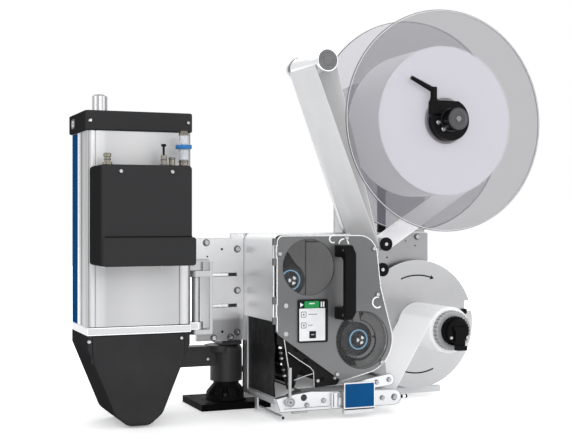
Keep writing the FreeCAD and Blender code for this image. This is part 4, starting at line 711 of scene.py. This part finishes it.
def printing_unit():
    dress("front_arm", BAR_METAL, 0, rim=(DARK_STEEL, 0.8, False))
    dress("upper_link", BAR_METAL, 0, rim=(DARK_STEEL, 0.8, False))
    front = corner("front_plate", 0, "y")
    right, top = corner("front_plate", 1, "x"), corner("front_plate", 1, "z")
    board = right - 58.5
    border = rounded(board, top - 44.4, right, top, 2.5)
    face = rounded(board + 1.8, top - 42.4, right - 1.8, top - 2, 1.8)
    shadow = rounded(board + 1, top - 46.6, right - 1, top - 44.8, 0.4)
    slab("plate_border", border, front - 0.3, 0.6, WHITE_FACE, width=0.15)
    slab("plate_face", face, front - 0.55, 0.5, BLUE_FACE, width=0.12)
    slab("plate_shadow_line", shadow, front - 0.1, 0.5, DEEP_BLACK)
    for index, x in enumerate((board - 17.5, board - 9.5)):
        slab(f"block_groove_{index}", rounded(x, 22, x + 1.2, 45, 0.4), -218.3, 0.5, DEEP_BLACK)
    bar_front = corner("front_arm", 0, "y")
    slab("bar_rest", rounded(47, 13.4, 74, 20.5, 0.8), -210, 8, BRACKET_METAL, width=0.3)
    slab("bar_groove", band([(30, 23), (112, 23)], 1), bar_front - 0.15, 0.5, DARK_STEEL)
    studs = (("stem", 250.8, 254, 1.3, DARK_STEEL), ("rear", 254, 256.6, 3.2, DEEP_BLACK),
             ("body", 256.6, 263, 3, TRIM_METAL), ("front", 263, 266, 3.4, DEEP_BLACK))
    for name, first, last, radius, finish in studs:
        lathe(f"bar_stud_{name}", (-206, 30.3), [(0, first), (radius, first + 0.3), (radius, last - 0.3), (0, last)],
              finish, "machine", 24, "X")
    print_head()


def print_head():
    """Rails, hose, shafts and the lever's hub beside the print head."""
    rail = [(33, 158), (38, 140), (42.5, 112), (47, 84), (50, 54)]
    slab("curved_rail", band(rail, 1.8), HEAD_FRONT, 2.6, STEEL, width=0.3)
    front = corner("head_lever", 0, "y") - 0.15
    for name, inner, outer in (("ring", 5.4, 6.4), ("socket", 0, 2.2)):
        profile = ring(inner, outer, front, front + 1.15)
        lathe(f"lever_{name}", (39, 34.6), profile, DARK_STEEL, BODY_OF["head_lever"], 32)
    rails = ([(45.7, 115.6), (66, 101), (86.6, 87.9), (92.8, 80.7), (93.9, 53)],
             [(56.4, 67.2), (75, 73), (92.8, 77.2)])
    for index, route in enumerate(rails):
        slab(f"head_rail_{index}", band(route, 1.5), HEAD_FRONT, 2.6, STEEL, width=0.3)
    hose = [(31, -186.5, 150), (33, -186.5, 128), (36, -186.5, 100), (42, -186.5, 70), (47, -186.5, 52)]
    tube("head_hose", hose, 2, DEEP_BLACK)
    for index in range(9):
        low_end, high_end = Vector(hose[index // 3]), Vector(hose[index // 3 + 1])
        x, y, z = low_end.lerp(high_end, (index % 3) / 3 + 0.15)
        lathe(f"hose_nut_{index}", (x, y), [(1.2, z - 1.6), (3.0, z - 1.6), (3.4, z), (3.0, z + 1.6), (1.2, z + 1.6)],
              (NOSE_BRIGHT, DARK_STEEL, STEEL)[index % 3], "machine", 6, "Z")
    for index, (x, z, radius) in enumerate([(40, 96, 4), (54, 62, 5), (78, 98, 4.5), (110, 66, 3.5), (62, 120, 4)]):
        tube(f"head_shaft_{index}", [(x, -188, z), (x, -120, z)], radius, STEEL)
        lathe(f"head_shaft_cap_{index}", (x, z), stud(radius * 0.8, radius * 1.2, -191.2, -190, -187.2), KNOB_BLACK,
              "machine", 24)


def door():
    # Painted light: the door's paint is shaded up its height and its edge border glows as a highlight.
    dress("door_panel", DOOR_PAINT, 0, angle=40, rim=(DOOR_EDGE, 1.4, True),
          spare=((*UPPER_WINDOW, 53), (*LOWER_WINDOW, 51.5), (30, 40, 112)))
    dress("door_windows", SMOKED, 0.8, 2, 60)
    dress("display", DEEP_BLACK, 0.8, 2, 32)
    face = DOOR_FRONT
    for name, centre, radius in (("upper", UPPER_WINDOW, 48.5), ("lower", LOWER_WINDOW, 50.5)):
        profile = [(radius - 0.9, face + 0.6), (radius - 0.5, face - 0.15), (radius + 0.4, face - 0.15),
                   (radius + 0.7, face + 0.4), (radius + 0.2, face + 1.2)]
        lathe(f"window_rim_{name}", centre, profile, PANE_RIM, "door", 128)
    hooks = (("left", (128.5, 308), 6.4, 60, 300), ("top", (149, 299), 9, 0, 180),
             ("side", (214.5, 196), 9.5, 75, 310))
    for name, centre, radius, first, last in hooks:
        line = band(arc(centre, radius, first, last, 14), 2.4)
        slab(f"door_hook_{name}", line, face - 0.3, 0.6, DOOR_EDGE, "door", 0.15)
    for index, z in enumerate((289, 179)):
        profile = stud(2.2, 2.8, 130.6, 131.1, 132)
        lathe(f"handle_side_screw_{index}", (-228.5, z), profile, DARK_STEEL, "door", 24, "X")


def screen():
    """The display's plain signs: (name, outline, how far in front, thickness, finish, edge width)."""
    signs = [("screen_panel", rounded(63.6, 134.2, 111.8, 189.6, 0.8), 0, 1.1, SCREEN_WHITE, 0.1),
             ("screen_header", rounded(73.2, 190.4, 100.6, 202, 0.5), 0, 1.1, SCREEN_GREEN, 0.1),
             ("header_line", rounded(82, 197, 92, 198.8, 0.4), 0.1, 0.3, WHITE_FACE, 0),
             ("start_sign", [(65.4, 192.2), (65.4, 199.8), (71.2, 196)], 0, 0.6, WHITE_FACE, 0),
             ("pause_sign_0", rounded(103.4, 191.6, 106, 200.6, 0.3), 0, 0.6, WHITE_FACE, 0),
             ("pause_sign_1", rounded(107.6, 191.6, 110.2, 200.6, 0.3), 0, 0.6, WHITE_FACE, 0),
             ("screen_button", rounded(82, 138.4, 94.4, 150.8, 0.6), 0.3, 0.8, DEEP_BLACK, 0.2),
             ("button_line", rounded(85.4, 144, 91, 145.4, 0.3), 0.45, 0.4, INNER_GREY, 0)]
    for row, low in enumerate((174.5, 156)):
        signs += [(f"sign_box_{row}", rounded(66.6, low, 76.6, low + 10, 1.0), 0.1, 0.3, DARK_STEEL, 0),
                  (f"sign_field_{row}", rounded(67.8, low + 1.2, 75.4, low + 8.8, 0.6), 0.2, 0.3, SCREEN_WHITE, 0),
                  (f"sign_dot_{row}", rounded(70.0, low + 3.4, 73.2, low + 6.6, 0.6), 0.3, 0.3, DARK_STEEL, 0),
                  (f"sign_line_{row}", rounded(80, low + 4.4, 97 - 9 * row, low + 5.6, 0.3), 0.1, 0.3, DARK_STEEL, 0)]
    for name, outline, proud, depth, finish, width in signs:
        slab(name, outline, SCREEN_FRONT - proud, depth, finish, "door", width)


def ribbons():
    for node, centre, film in (("ribbon_supply", RIBBON_SUPPLY, FILM), ("ribbon_takeup", RIBBON_TAKEUP, FILM_USED)):
        body = BODY_OF[node]
        dress(node, film, 0.6)
        lathe(node + "_ring", centre, [(15.8, -166.8), (15.8, -169), (17.6, -169), (17.8, -167.6), (17.8, -166.8)],
              RING_BLUE, body, 64)
        nose = [(0, -176.4), (5.2, -176.4), (7, -174), (7.8, -170), (7.8, -166.8), (0, -166.8)]
        lathe(node + "_nose", centre, nose, DARK_STEEL, body, 32)
        for index, turn in enumerate((20, 150, 265)):
            petal = arc(centre, 7.4, turn, turn + 58, 6) + arc(centre, 3, turn + 58, turn, 4)
            slab(f"{node}_glint_{index}", petal, -176.9, 0.8, GLINT, body, 0.1)
        ribs(node + "_ribs", KNOB_BLACK, body, centre, -166, 9, 11.5, (1.6, 6, 4))


def behind_windows():
    """What shows through the two panes: dark sheets of painted shade, a backdrop wall with a painted glow, web guides
    and a painted reflection in the lower window.
    """
    # Painted shade: a dark petal-shaped sheet on a post stands for the dark inside seen through the upper window.
    petal = [(44, 294)] + arc((54.9, 237), 24.5, 35, 172, 14) + [(31.5, 270)]
    slab("upper_window_painted_shade", petal, -181.5, 1.2, INNER_DARK, width=0.3)
    tube("window_guard_post", [(41, -180.6, 278), (41, FRAME_FRONT, 278)], 2.6, INNER_DARK)
    # Painted light: a grey backdrop wall with a glow, on two posts, brightens the upper window's view.
    wall = [(93, 196), (204, 196), (204, 283), (176, 311), (93, 311)]
    slab("glowing_backdrop", wall, -60, 1.2, INNER_GREY, width=0.3)
    for index, x in enumerate((98, 196)):
        tube(f"inner_wall_post_{index}", [(x, -59, 205), (x, FRAME_FRONT, 205)], 2.6, DARK_STEEL)
    tube("web_guide", [(112, -112, 206), (112, -112, 314.4)], 1.2, DARK_STEEL)
    tube("web_guide_foot", [(112, -112, 206), (112, -60.2, 206)], 1.2, DARK_STEEL)
    tube("web_guide_top", [(112, -112, 302), (176, -112, 302), (176, -60.2, 302)], 1.4, STEEL)
    # Painted shade: dark crescents on either side of the take-up roll, held on the two posts below.
    for name, first, last, finish in (("left", 118, 262, INNER_DARK), ("right", -98, 82, INNER_MID)):
        crescent = arc(LOWER_WINDOW, 49, first, last, 20) + arc(RIBBON_TAKEUP, 33.5, last, first, 20)
        slab(f"roll_guard_{name}", crescent, -166.0, 1.2, finish, width=0.3)
    # Painted reflection: a light crescent and two light lines on the door, seen in the lower window.
    shade = arc(LOWER_WINDOW, 49.6, -98, 82, 24) + arc((179, 130), 36, 82, -98, 24)
    slab("lower_window_painted_reflection", shade, -188.2, 1, INNER_SOFT, "door", 0.2)
    for index, low in enumerate((88, 92.5)):
        slab(f"window_shade_line_{index}", band([(190, low), (211, low + 5)], 0.9), -188.4, 0.4, INNER_GREY, "door")
    tube("roll_guard_post_left", [(144.5, -165, 131), (144.5, FRAME_FRONT, 131)], 2.4, INNER_DARK)
    tube("roll_guard_post_right", [(228.5, -165, 131), (228.5, -150, 131)], 2.4, DARK_STEEL)


def reel():
    """The supply reel: clear discs, the paper roll, the shaft and the split clamp collar."""
    body = "supply_reel"
    fronts = [corner("reel_flanges", 0, "y"), corner("reel_flanges", 1, "y") - 3]
    discs = []
    for index, front in enumerate(fronts):
        back = front + 3
        finish = (CLEAR_FRONT, CLEAR)[index]
        discs.append(lathe(f"reel_disc_{index}", REEL, ring(21.2, 197.4, front, back), finish, body, 192))
        lathe(f"reel_rim_inner_{index}", REEL, ring(197.5, 198.7, front, back), RIM_LIGHT, body, 192)
        edge = [(198.8, front), (199.5, front), (199.95, front + 0.6), (199.95, back - 0.6), (199.5, back),
                (198.8, back)]
        lathe(f"reel_rim_outer_{index}", REEL, edge, RIM_DARK, body, 192)
    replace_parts(discs[0], "reel_flanges")
    low, high = corner("label_roll", 0, "y"), corner("label_roll", 1, "y")
    sides = [(38.2, low), (134.3, low), (135, low + 0.8), (135, high - 0.8), (134.3, high), (38.2, high)]
    roll = lathe("label_roll_wound", REEL, sides, ROLL_PAPER, body, 160)
    # Painted light: the roll's faces take the more strongly glowing copy of the paper.
    paint(roll, ROLL_FACE, lambda face: abs(face.normal.y) > 0.9)
    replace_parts(roll, "label_roll")
    # Painted highlight: a glowing bright ring along the roll's front edge.
    lathe("roll_edge", REEL, ring(133.6, 134.8, low - 0.4, low + 0.2), NOSE_BRIGHT, body, 160)
    lathe("roll_core", REEL, ring(38, 42, low - 0.4, low + 4), CORE_BOARD, body, 96)
    front = corner("reel_collar", 0, "y")
    nose = corner("supply_shaft", 0, "y")
    heads("collar_screws", body, [(325.6, front - 1, 514.7), (336, front - 1, 503)], 4.4, 2, 1.6)
    washer = [(8.5, nose + 0.4), (14, nose + 0.4), (14.6, nose - 0.6), (15, nose - 0.6), (15.2, nose + 1),
              (8.5, nose + 1)]
    lathe("shaft_washer", REEL, washer, DARK_STEEL, body, 48)
    socket = [(0, nose - 0.2), (5.8, nose - 0.2), (6.2, nose + 2), (0, nose + 2)]
    lathe("shaft_socket", REEL, socket, DARK_STEEL, body, 6)


def web_path():
    strips = dress("label_web", WEB, 0)
    paint(strips, LINER, lambda face: face.center.x > 0.22 and face.center.z < 0.2)
    paint(strips, WEB_LIT, lambda face: face.center.x > 0.23 and face.center.z > 0.29)
    strands = dress("dancer_web", WEB, 0, rides=False)
    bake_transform(strands)
    for node, centre in GUIDES.items():
        dress(node, ARM_METAL, 0.8)
        cap = [(2.5, -189.2), (11.2, -189.2), (12.1, -188.4), (12.1, -186.2), (11.5, -185.6), (11.5, -185), (2.5, -185)]
        lathe(node + "_cap", centre, cap, KNOB_BLACK, BODY_OF[node], 48)
        lathe(node + "_dot", centre, stud(3, 3.6, -189.3, -188.6, -186.8), STEEL, BODY_OF[node], 24)
    profile = [(0, -196.2), (8.5, -196.2), (9.5, -197), (12.5, -197), (13.5, -196.2), (17.8, -196.2), (18.6, -195.4),
               (18.6, -194), (0, -194)]
    lathe("dancer_cap", DANCER, profile, DARK_STEEL, "dancer_roller", 64)
    profile = [(19.6, -70), (20.5, -69.6), (20.5, -64), (19.6, -63.4)]
    lathe("dancer_rear_ring", DANCER, profile, DARK_STEEL, "dancer_roller", 64)


def rewinder():
    body = "rewinder"
    dress("rewind_disc", DISC_METAL, 0, rim=(STEEL, 0.9, True))
    low, high = corner("liner_roll", 0, "y"), corner("liner_roll", 1, "y")
    sides = [(25.1, low), (41.4, low), (42, low + 0.8), (42, high - 0.6), (41.4, high), (25.1, high)]
    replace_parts(lathe("liner_roll_wound", REWIND, sides, LINER_PAPER, body, 96), "liner_roll")
    face = corner("rewind_disc", 0, "y")
    for name, first, last in (("top", 112, 72), ("bottom", 292, 252)):
        line = arc(REWIND, 94, first, last, 14)
        slab(f"turn_mark_{name}", band(line, 2.6), face - 0.15, 0.4, DEEP_BLACK, body)
        tip = Vector(line[-1])
        along = (tip - Vector(line[-2])).normalized()
        side = Vector((-along.y, along.x))
        head = [tip + side * 4.5, tip - side * 4.5, tip + along * 8]
        slab(f"turn_mark_tip_{name}", [tuple(spot) for spot in head], face - 0.15, 0.4, DEEP_BLACK, body)
    heads("knob_screws", body, [(351.5, -214.9, 130), (384, -214.9, 130)], 3, 1.8, 1.1)
    core = [(25.2, -194.8), (33.8, -195.8), (35.4, -195), (35.4, -183.6), (25.2, -183.6)]
    lathe("clear_core", REWIND, core, CORE_CLEAR, body, 64)
    ribs("clear_core_ribs", DARK_STEEL, body, REWIND, -189.7, 30, 35.2, (1.2, 11.8, 1.4))
    slab("notch_catch", rounded(465, 157, 475, 167, 2), -66, 5.8, KNOB_BLACK, body, 0.6)


def tower():
    """The applicator's column with its cap, band and lower cover."""
    shell = rounded(-298.8, -174.8, -118.2, -41.2, 6)
    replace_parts(slab("tower_cap_shell", shell, 486, 31.9, CAP_CHARCOAL, "tower", 2.6, "Z"), "tower_cap")
    dress("tower_band", BAND_METAL, 0, rim=(TRIM_METAL, 1.2, False))
    cover = dress("lower_cover", COVER_BLACK, 1, 2)
    paint(cover, COVER_SHADE, lambda face: face.normal.x < -0.75)
    left, front = corner("tower_housing", 0, "x"), corner("tower_housing", 0, "y")
    low, high = corner("tower_housing", 0, "z") + 1, corner("tower_housing", 1, "z") - 1
    cap_left = corner("tower_cap", 0, "x")
    left_side = (("column_stripe", (-95, low), (-52, high), 1, left - 0.5, 0.8, BLUE_TRIM, 0.15),
                 # column_strip is a painted highlight: a bright metal strip beside the blue stripe.
                 ("column_strip", (-110, low), (-96.5, high), 0.8, left - 0.4, 0.7, TRIM_METAL, 0.15),
                 ("column_slot", (-130, low), (-124, high), 0.8, left - 0.12, 0.5, DEEP_BLACK, 0),
                 ("column_edge", (-160, low), (-140, high), 0.8, left - 0.3, 0.6, COLUMN_METAL, 0.1),
                 ("cap_recess", (-92, 494), (-64, 510), 5, cap_left + 0.15, 0.4, DEEP_BLACK, 0),
                 ("cap_clip", (-87, 497), (-69, 507), 4, cap_left + 0.05, 0.4, STEEL, 0.1),
                 ("cap_clip_slot", (-84, 501), (-72, 503), 0.8, cap_left + 0.01, 0.3, DEEP_BLACK, 0))
    for name, first, last, radius, start, depth, finish, width in left_side:
        slab(name, rounded(*first, *last, radius), start, depth, finish, "tower", width, "X")
    heads("cap_screws", "tower", [(-290, -176, 501), (-127, -176, 502)], 3.2, 2, 1.4)
    heads("cover_screws", "tower", [(-290.6, front - 0.8, 145.2), (-137, front - 0.8, 145.5)], 3.2, 2, 1.3)
    lathe("cover_boss", (-290.6, 145.2), stud(3, 3.3, front - 0.2, front, front + 7), COVER_BLACK, "tower", 24)
    lines = [("cover_slot_left", (-286.2, 108), (-284.4, 152.4), 0.4, 0.8, DEEP_BLACK),
             ("cover_slot_right", (-131.5, 118), (-130.6, 152.4), 0.4, 0.8, DEEP_BLACK),
             # band_gap_top and band_gap_bottom are painted shade in the gaps above and below the band.
             ("band_gap_top", (-291, 167.3), (-123, 168.3), 0.3, 0.5, DEEP_BLACK),
             ("band_gap_bottom", (-284, 152.6), (-130, 153.8), 0.3, 0.5, DEEP_BLACK),
             ("column_line_0", (-292.6, 168.5), (-291.7, 485), 0.3, 0.5, DARK_STEEL),
             ("column_line_1", (-122.4, 168.5), (-121.5, 485), 0.3, 0.5, DARK_STEEL)]
    for name, first, last, radius, depth, finish in lines:
        slab(name, rounded(*first, *last, radius), front - 0.12, depth, finish, "tower")
    eye = arc((-98, -125), 5, 0, 360, 24)[:-1]
    slab("band_eye_hole", eye, corner("tower_band", 1, "z") - 0.2, 0.3, DEEP_BLACK, "tower", facing="Z")


def valve_box():
    """The valve box on the tower with its air fittings, filter bowl and screws."""
    box = slab("valve_box_shell", rounded(-291, 269, -143, 427.4, 6), BOX_FRONT, 84, BOX_BLACK, "tower", 5)
    slab("valve_box_lip", rounded(-288, 269, -138, 314, 5), -259, 88, BOX_BLACK, "tower", 3.5)
    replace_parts(box, "valve_box")
    fittings = (("supply", -270.5, ((6.4, 427.5, 431.5), (5.4, 436, 438), (5.9, 441, 446.5))),
                ("plunger", -178.5, ((6.2, 427.5, 430.5), (5, 437.5, 439))),
                ("silencer", -164.5, ((6, 427.5, 430), (5.2, 438.5, 441.5))),
                ("bowl", -145, ((8.4, 427.5, 430), (8.2, 434.5, 437))))
    for name, x, rows in fittings:
        for index, (radius, low, high) in enumerate(rows):
            wide = radius + 0.4
            profile = [(4.2, low), (radius, low), (wide, low + 0.5), (wide, high - 0.5), (radius, high), (4.2, high)]
            finish = (DARK_STEEL, DARK_STEEL, NICKEL)[index]
            lathe(f"{name}_nut_{index}", (x, -210), profile, finish, "tower", 24 if index else 6, "Z")
    lathe("bowl_ring", (-145, -210), [(8.6, 456), (12.8, 456), (13.4, 457.2), (13.4, 461.8), (12.8, 463), (8.6, 463)],
          BOWL_BLUE, "tower", 48, "Z")
    lathe("bowl_top", (-145, -210), [(0, 485.3), (5.2, 485.3), (6.2, 483.5), (7.8, 480), (8.7, 478), (0, 478)],
          NICKEL, "tower", 32, "Z")
    heads("box_screws", "tower", [(-259.2, BOX_FRONT - 0.8, 416.7), (-176.7, BOX_FRONT - 0.8, 416.8)], 3.6, 1.8, 1.5)
    slab("lip_shadow", rounded(-284, 314.2, -144, 316, 0.3), BOX_FRONT - 0.15, 0.5, INNER_DARK, "tower")
    for index, x in enumerate((-281, -188)):
        lathe(f"box_foot_{index}", (x, -235), stud(3.2, 3.8, 266.8, 267.6, 269.2), STEEL, "tower", 24, "Z")


def screws():
    """Hexagon socket heads over the plain heads of the solids, washers, plugs and the tube's jets."""
    spots = [(-52, 300), (7, 288), (7, 213), (7, 137.5), (-38, 128.5), (-6, 128.5), (377, 308)]
    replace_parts(heads("plate_screw_heads", "machine", [(x, -43.4, z) for x, z in spots], 5, 3, 2.1), "frame_screws")
    for index, spot in enumerate(spots):
        lathe(f"plate_washer_{index}", spot, [(3, -42.8), (6.4, -42.8), (6.6, -42.4), (6.6, -41.8), (3, -41.8)],
              DARK_STEEL, "machine", 32)
    heads("link_screw_heads", "machine", [(234, -201.2, 60), (210, -201.2, 57)], 4.4, 2.6, 1.9)
    bar_spots = [(238, 31), (72, 27), (103, 33), (215, 31)]
    heads("bar_screw_heads", "machine", [(x, -213.2, z) for x, z in bar_spots], 4.6, 2.6, 1.9)
    door_spots = [(29, 283.5), (154, 309.5), (207, 290.5), (214.5, 210), (136, 73.8), (222.4, 90.7)]
    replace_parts(heads("door_screw_heads", "door", [(x, -195, z) for x, z in door_spots], 4.2, 2.2, 1.8), "door_screws")
    heads("bracket_screw_heads", "machine", [(101, -190.6, 64), (133, -190.6, 66.5)], 3.6, 2, 1.5)
    for index, z in enumerate((195, 147)):
        lathe(f"door_plug_{index}", (40.9, z), stud(3.4, 4.4, -195.6, -194.9, -193.8), BRACKET_METAL, "door", 32)
    STUDS.make("air_jets", DEEP_BLACK, "machine", [(29, -200, 4.1)], Count=9, Step=(0, 0.012, 0), Stud_radius=0.0011,
               Stud_height=0.0006)


# Stage, light and camera

def combined(tree, operation, first, second):
    """A math node that takes two sockets."""
    node = tree.nodes.new("ShaderNodeMath")
    node.operation = operation
    tree.links.new(first, node.inputs[0])
    tree.links.new(second, node.inputs[1])
    return node.outputs[0]


def stage():
    """A pale floor that keeps the object's shadow, and a white surround for the camera and for gloss."""
    work = bmesh.new()
    bmesh.ops.create_grid(work, x_segments=1, y_segments=1, size=6)
    mesh = bpy.data.meshes.new("floor")
    work.to_mesh(mesh)
    work.free()
    finish = Finish("floor_finish", 0.93, 0.8).glow(0)
    finish.tint(finish.noise(2, 2), 0.004)
    reach = finish.add("MapRange", From_Min=0.3, From_Max=1.1, To_Min=0.32, To_Max=1)
    finish.join(finish.distance(), reach.inputs["Value"])
    path = finish.add("LightPath").outputs
    seen = combined(finish.tree, "MAXIMUM", path["Is Camera Ray"], path["Is Glossy Ray"])
    strength = combined(finish.tree, "MULTIPLY", seen, reach.outputs["Result"])
    finish.join(strength, finish.shader.inputs["Emission Strength"])
    floor = show("floor", mesh, finish, None)

    world = bpy.data.worlds.new("surround")
    bpy.context.scene.world = world
    world.use_nodes = True
    tree = world.node_tree
    backdrop = fill(tree.nodes["Background"], Color=(0.97, 0.98, 1, 1), Strength=0.62)
    white = fill(tree.nodes.new("ShaderNodeBackground"), Color=(1, 1, 1, 1))
    path = tree.nodes.new("ShaderNodeLightPath").outputs
    seen = combined(tree, "MAXIMUM", path["Is Camera Ray"], path["Is Transmission Ray"])
    mix = tree.nodes.new("ShaderNodeMixShader")
    tree.links.new(combined(tree, "MAXIMUM", seen, path["Is Glossy Ray"]), mix.inputs["Fac"])
    tree.links.new(backdrop.outputs[0], mix.inputs[1])
    tree.links.new(white.outputs[0], mix.inputs[2])
    tree.links.new(mix.outputs[0], tree.nodes["World Output"].inputs["Surface"])


def lamp(name, place, aim, width, energy):
    light = bpy.data.lights.new(name, "AREA")
    light.shape = "SQUARE"
    light.size = width
    light.energy = energy
    holder = bpy.data.objects.new(name, light)
    bpy.context.scene.collection.objects.link(holder)
    holder.location = place
    holder.rotation_euler = (Vector(aim) - Vector(place)).to_track_quat("-Z", "Y").to_euler()


def camera():
    """The photograph's view: its width, focal length and shift are in pixels."""
    picture_width, focal_length, shift = 572, 1100.7, -1.8
    lens = bpy.data.cameras.new("camera")
    lens.sensor_width = 36
    lens.lens = lens.sensor_width * focal_length / picture_width
    lens.shift_y = shift / picture_width
    holder = bpy.data.objects.new("camera", lens)
    holder.location = (-0.664, -1.927, 0.344)
    holder.rotation_euler = (radians(90), 0, radians(-22.13))
    bpy.context.scene.collection.objects.link(holder)
    bpy.context.scene.camera = holder


for build in (plain_pieces, stand, plates, printing_unit, door, screen, ribbons, behind_windows, reel, web_path,
              rewinder, tower, valve_box, screws, stage):
    build()
lamp("key", (-0.4, -2.8, 1.5), (0, 0, 0.3), 1.6, 32)
lamp("fill", (2, -2, 1.2), (0.1, 0, 0.3), 1.8, 15)
lamp("side", (-2.2, -0.4, 1.3), (0, 0, 0.3), 1.6, 14)
lamp("rear", (0.4, 1.8, 1.8), (0.1, 0, 0.4), 1.6, 12)
camera()
bpy.context.scene.view_settings.view_transform = "Standard"
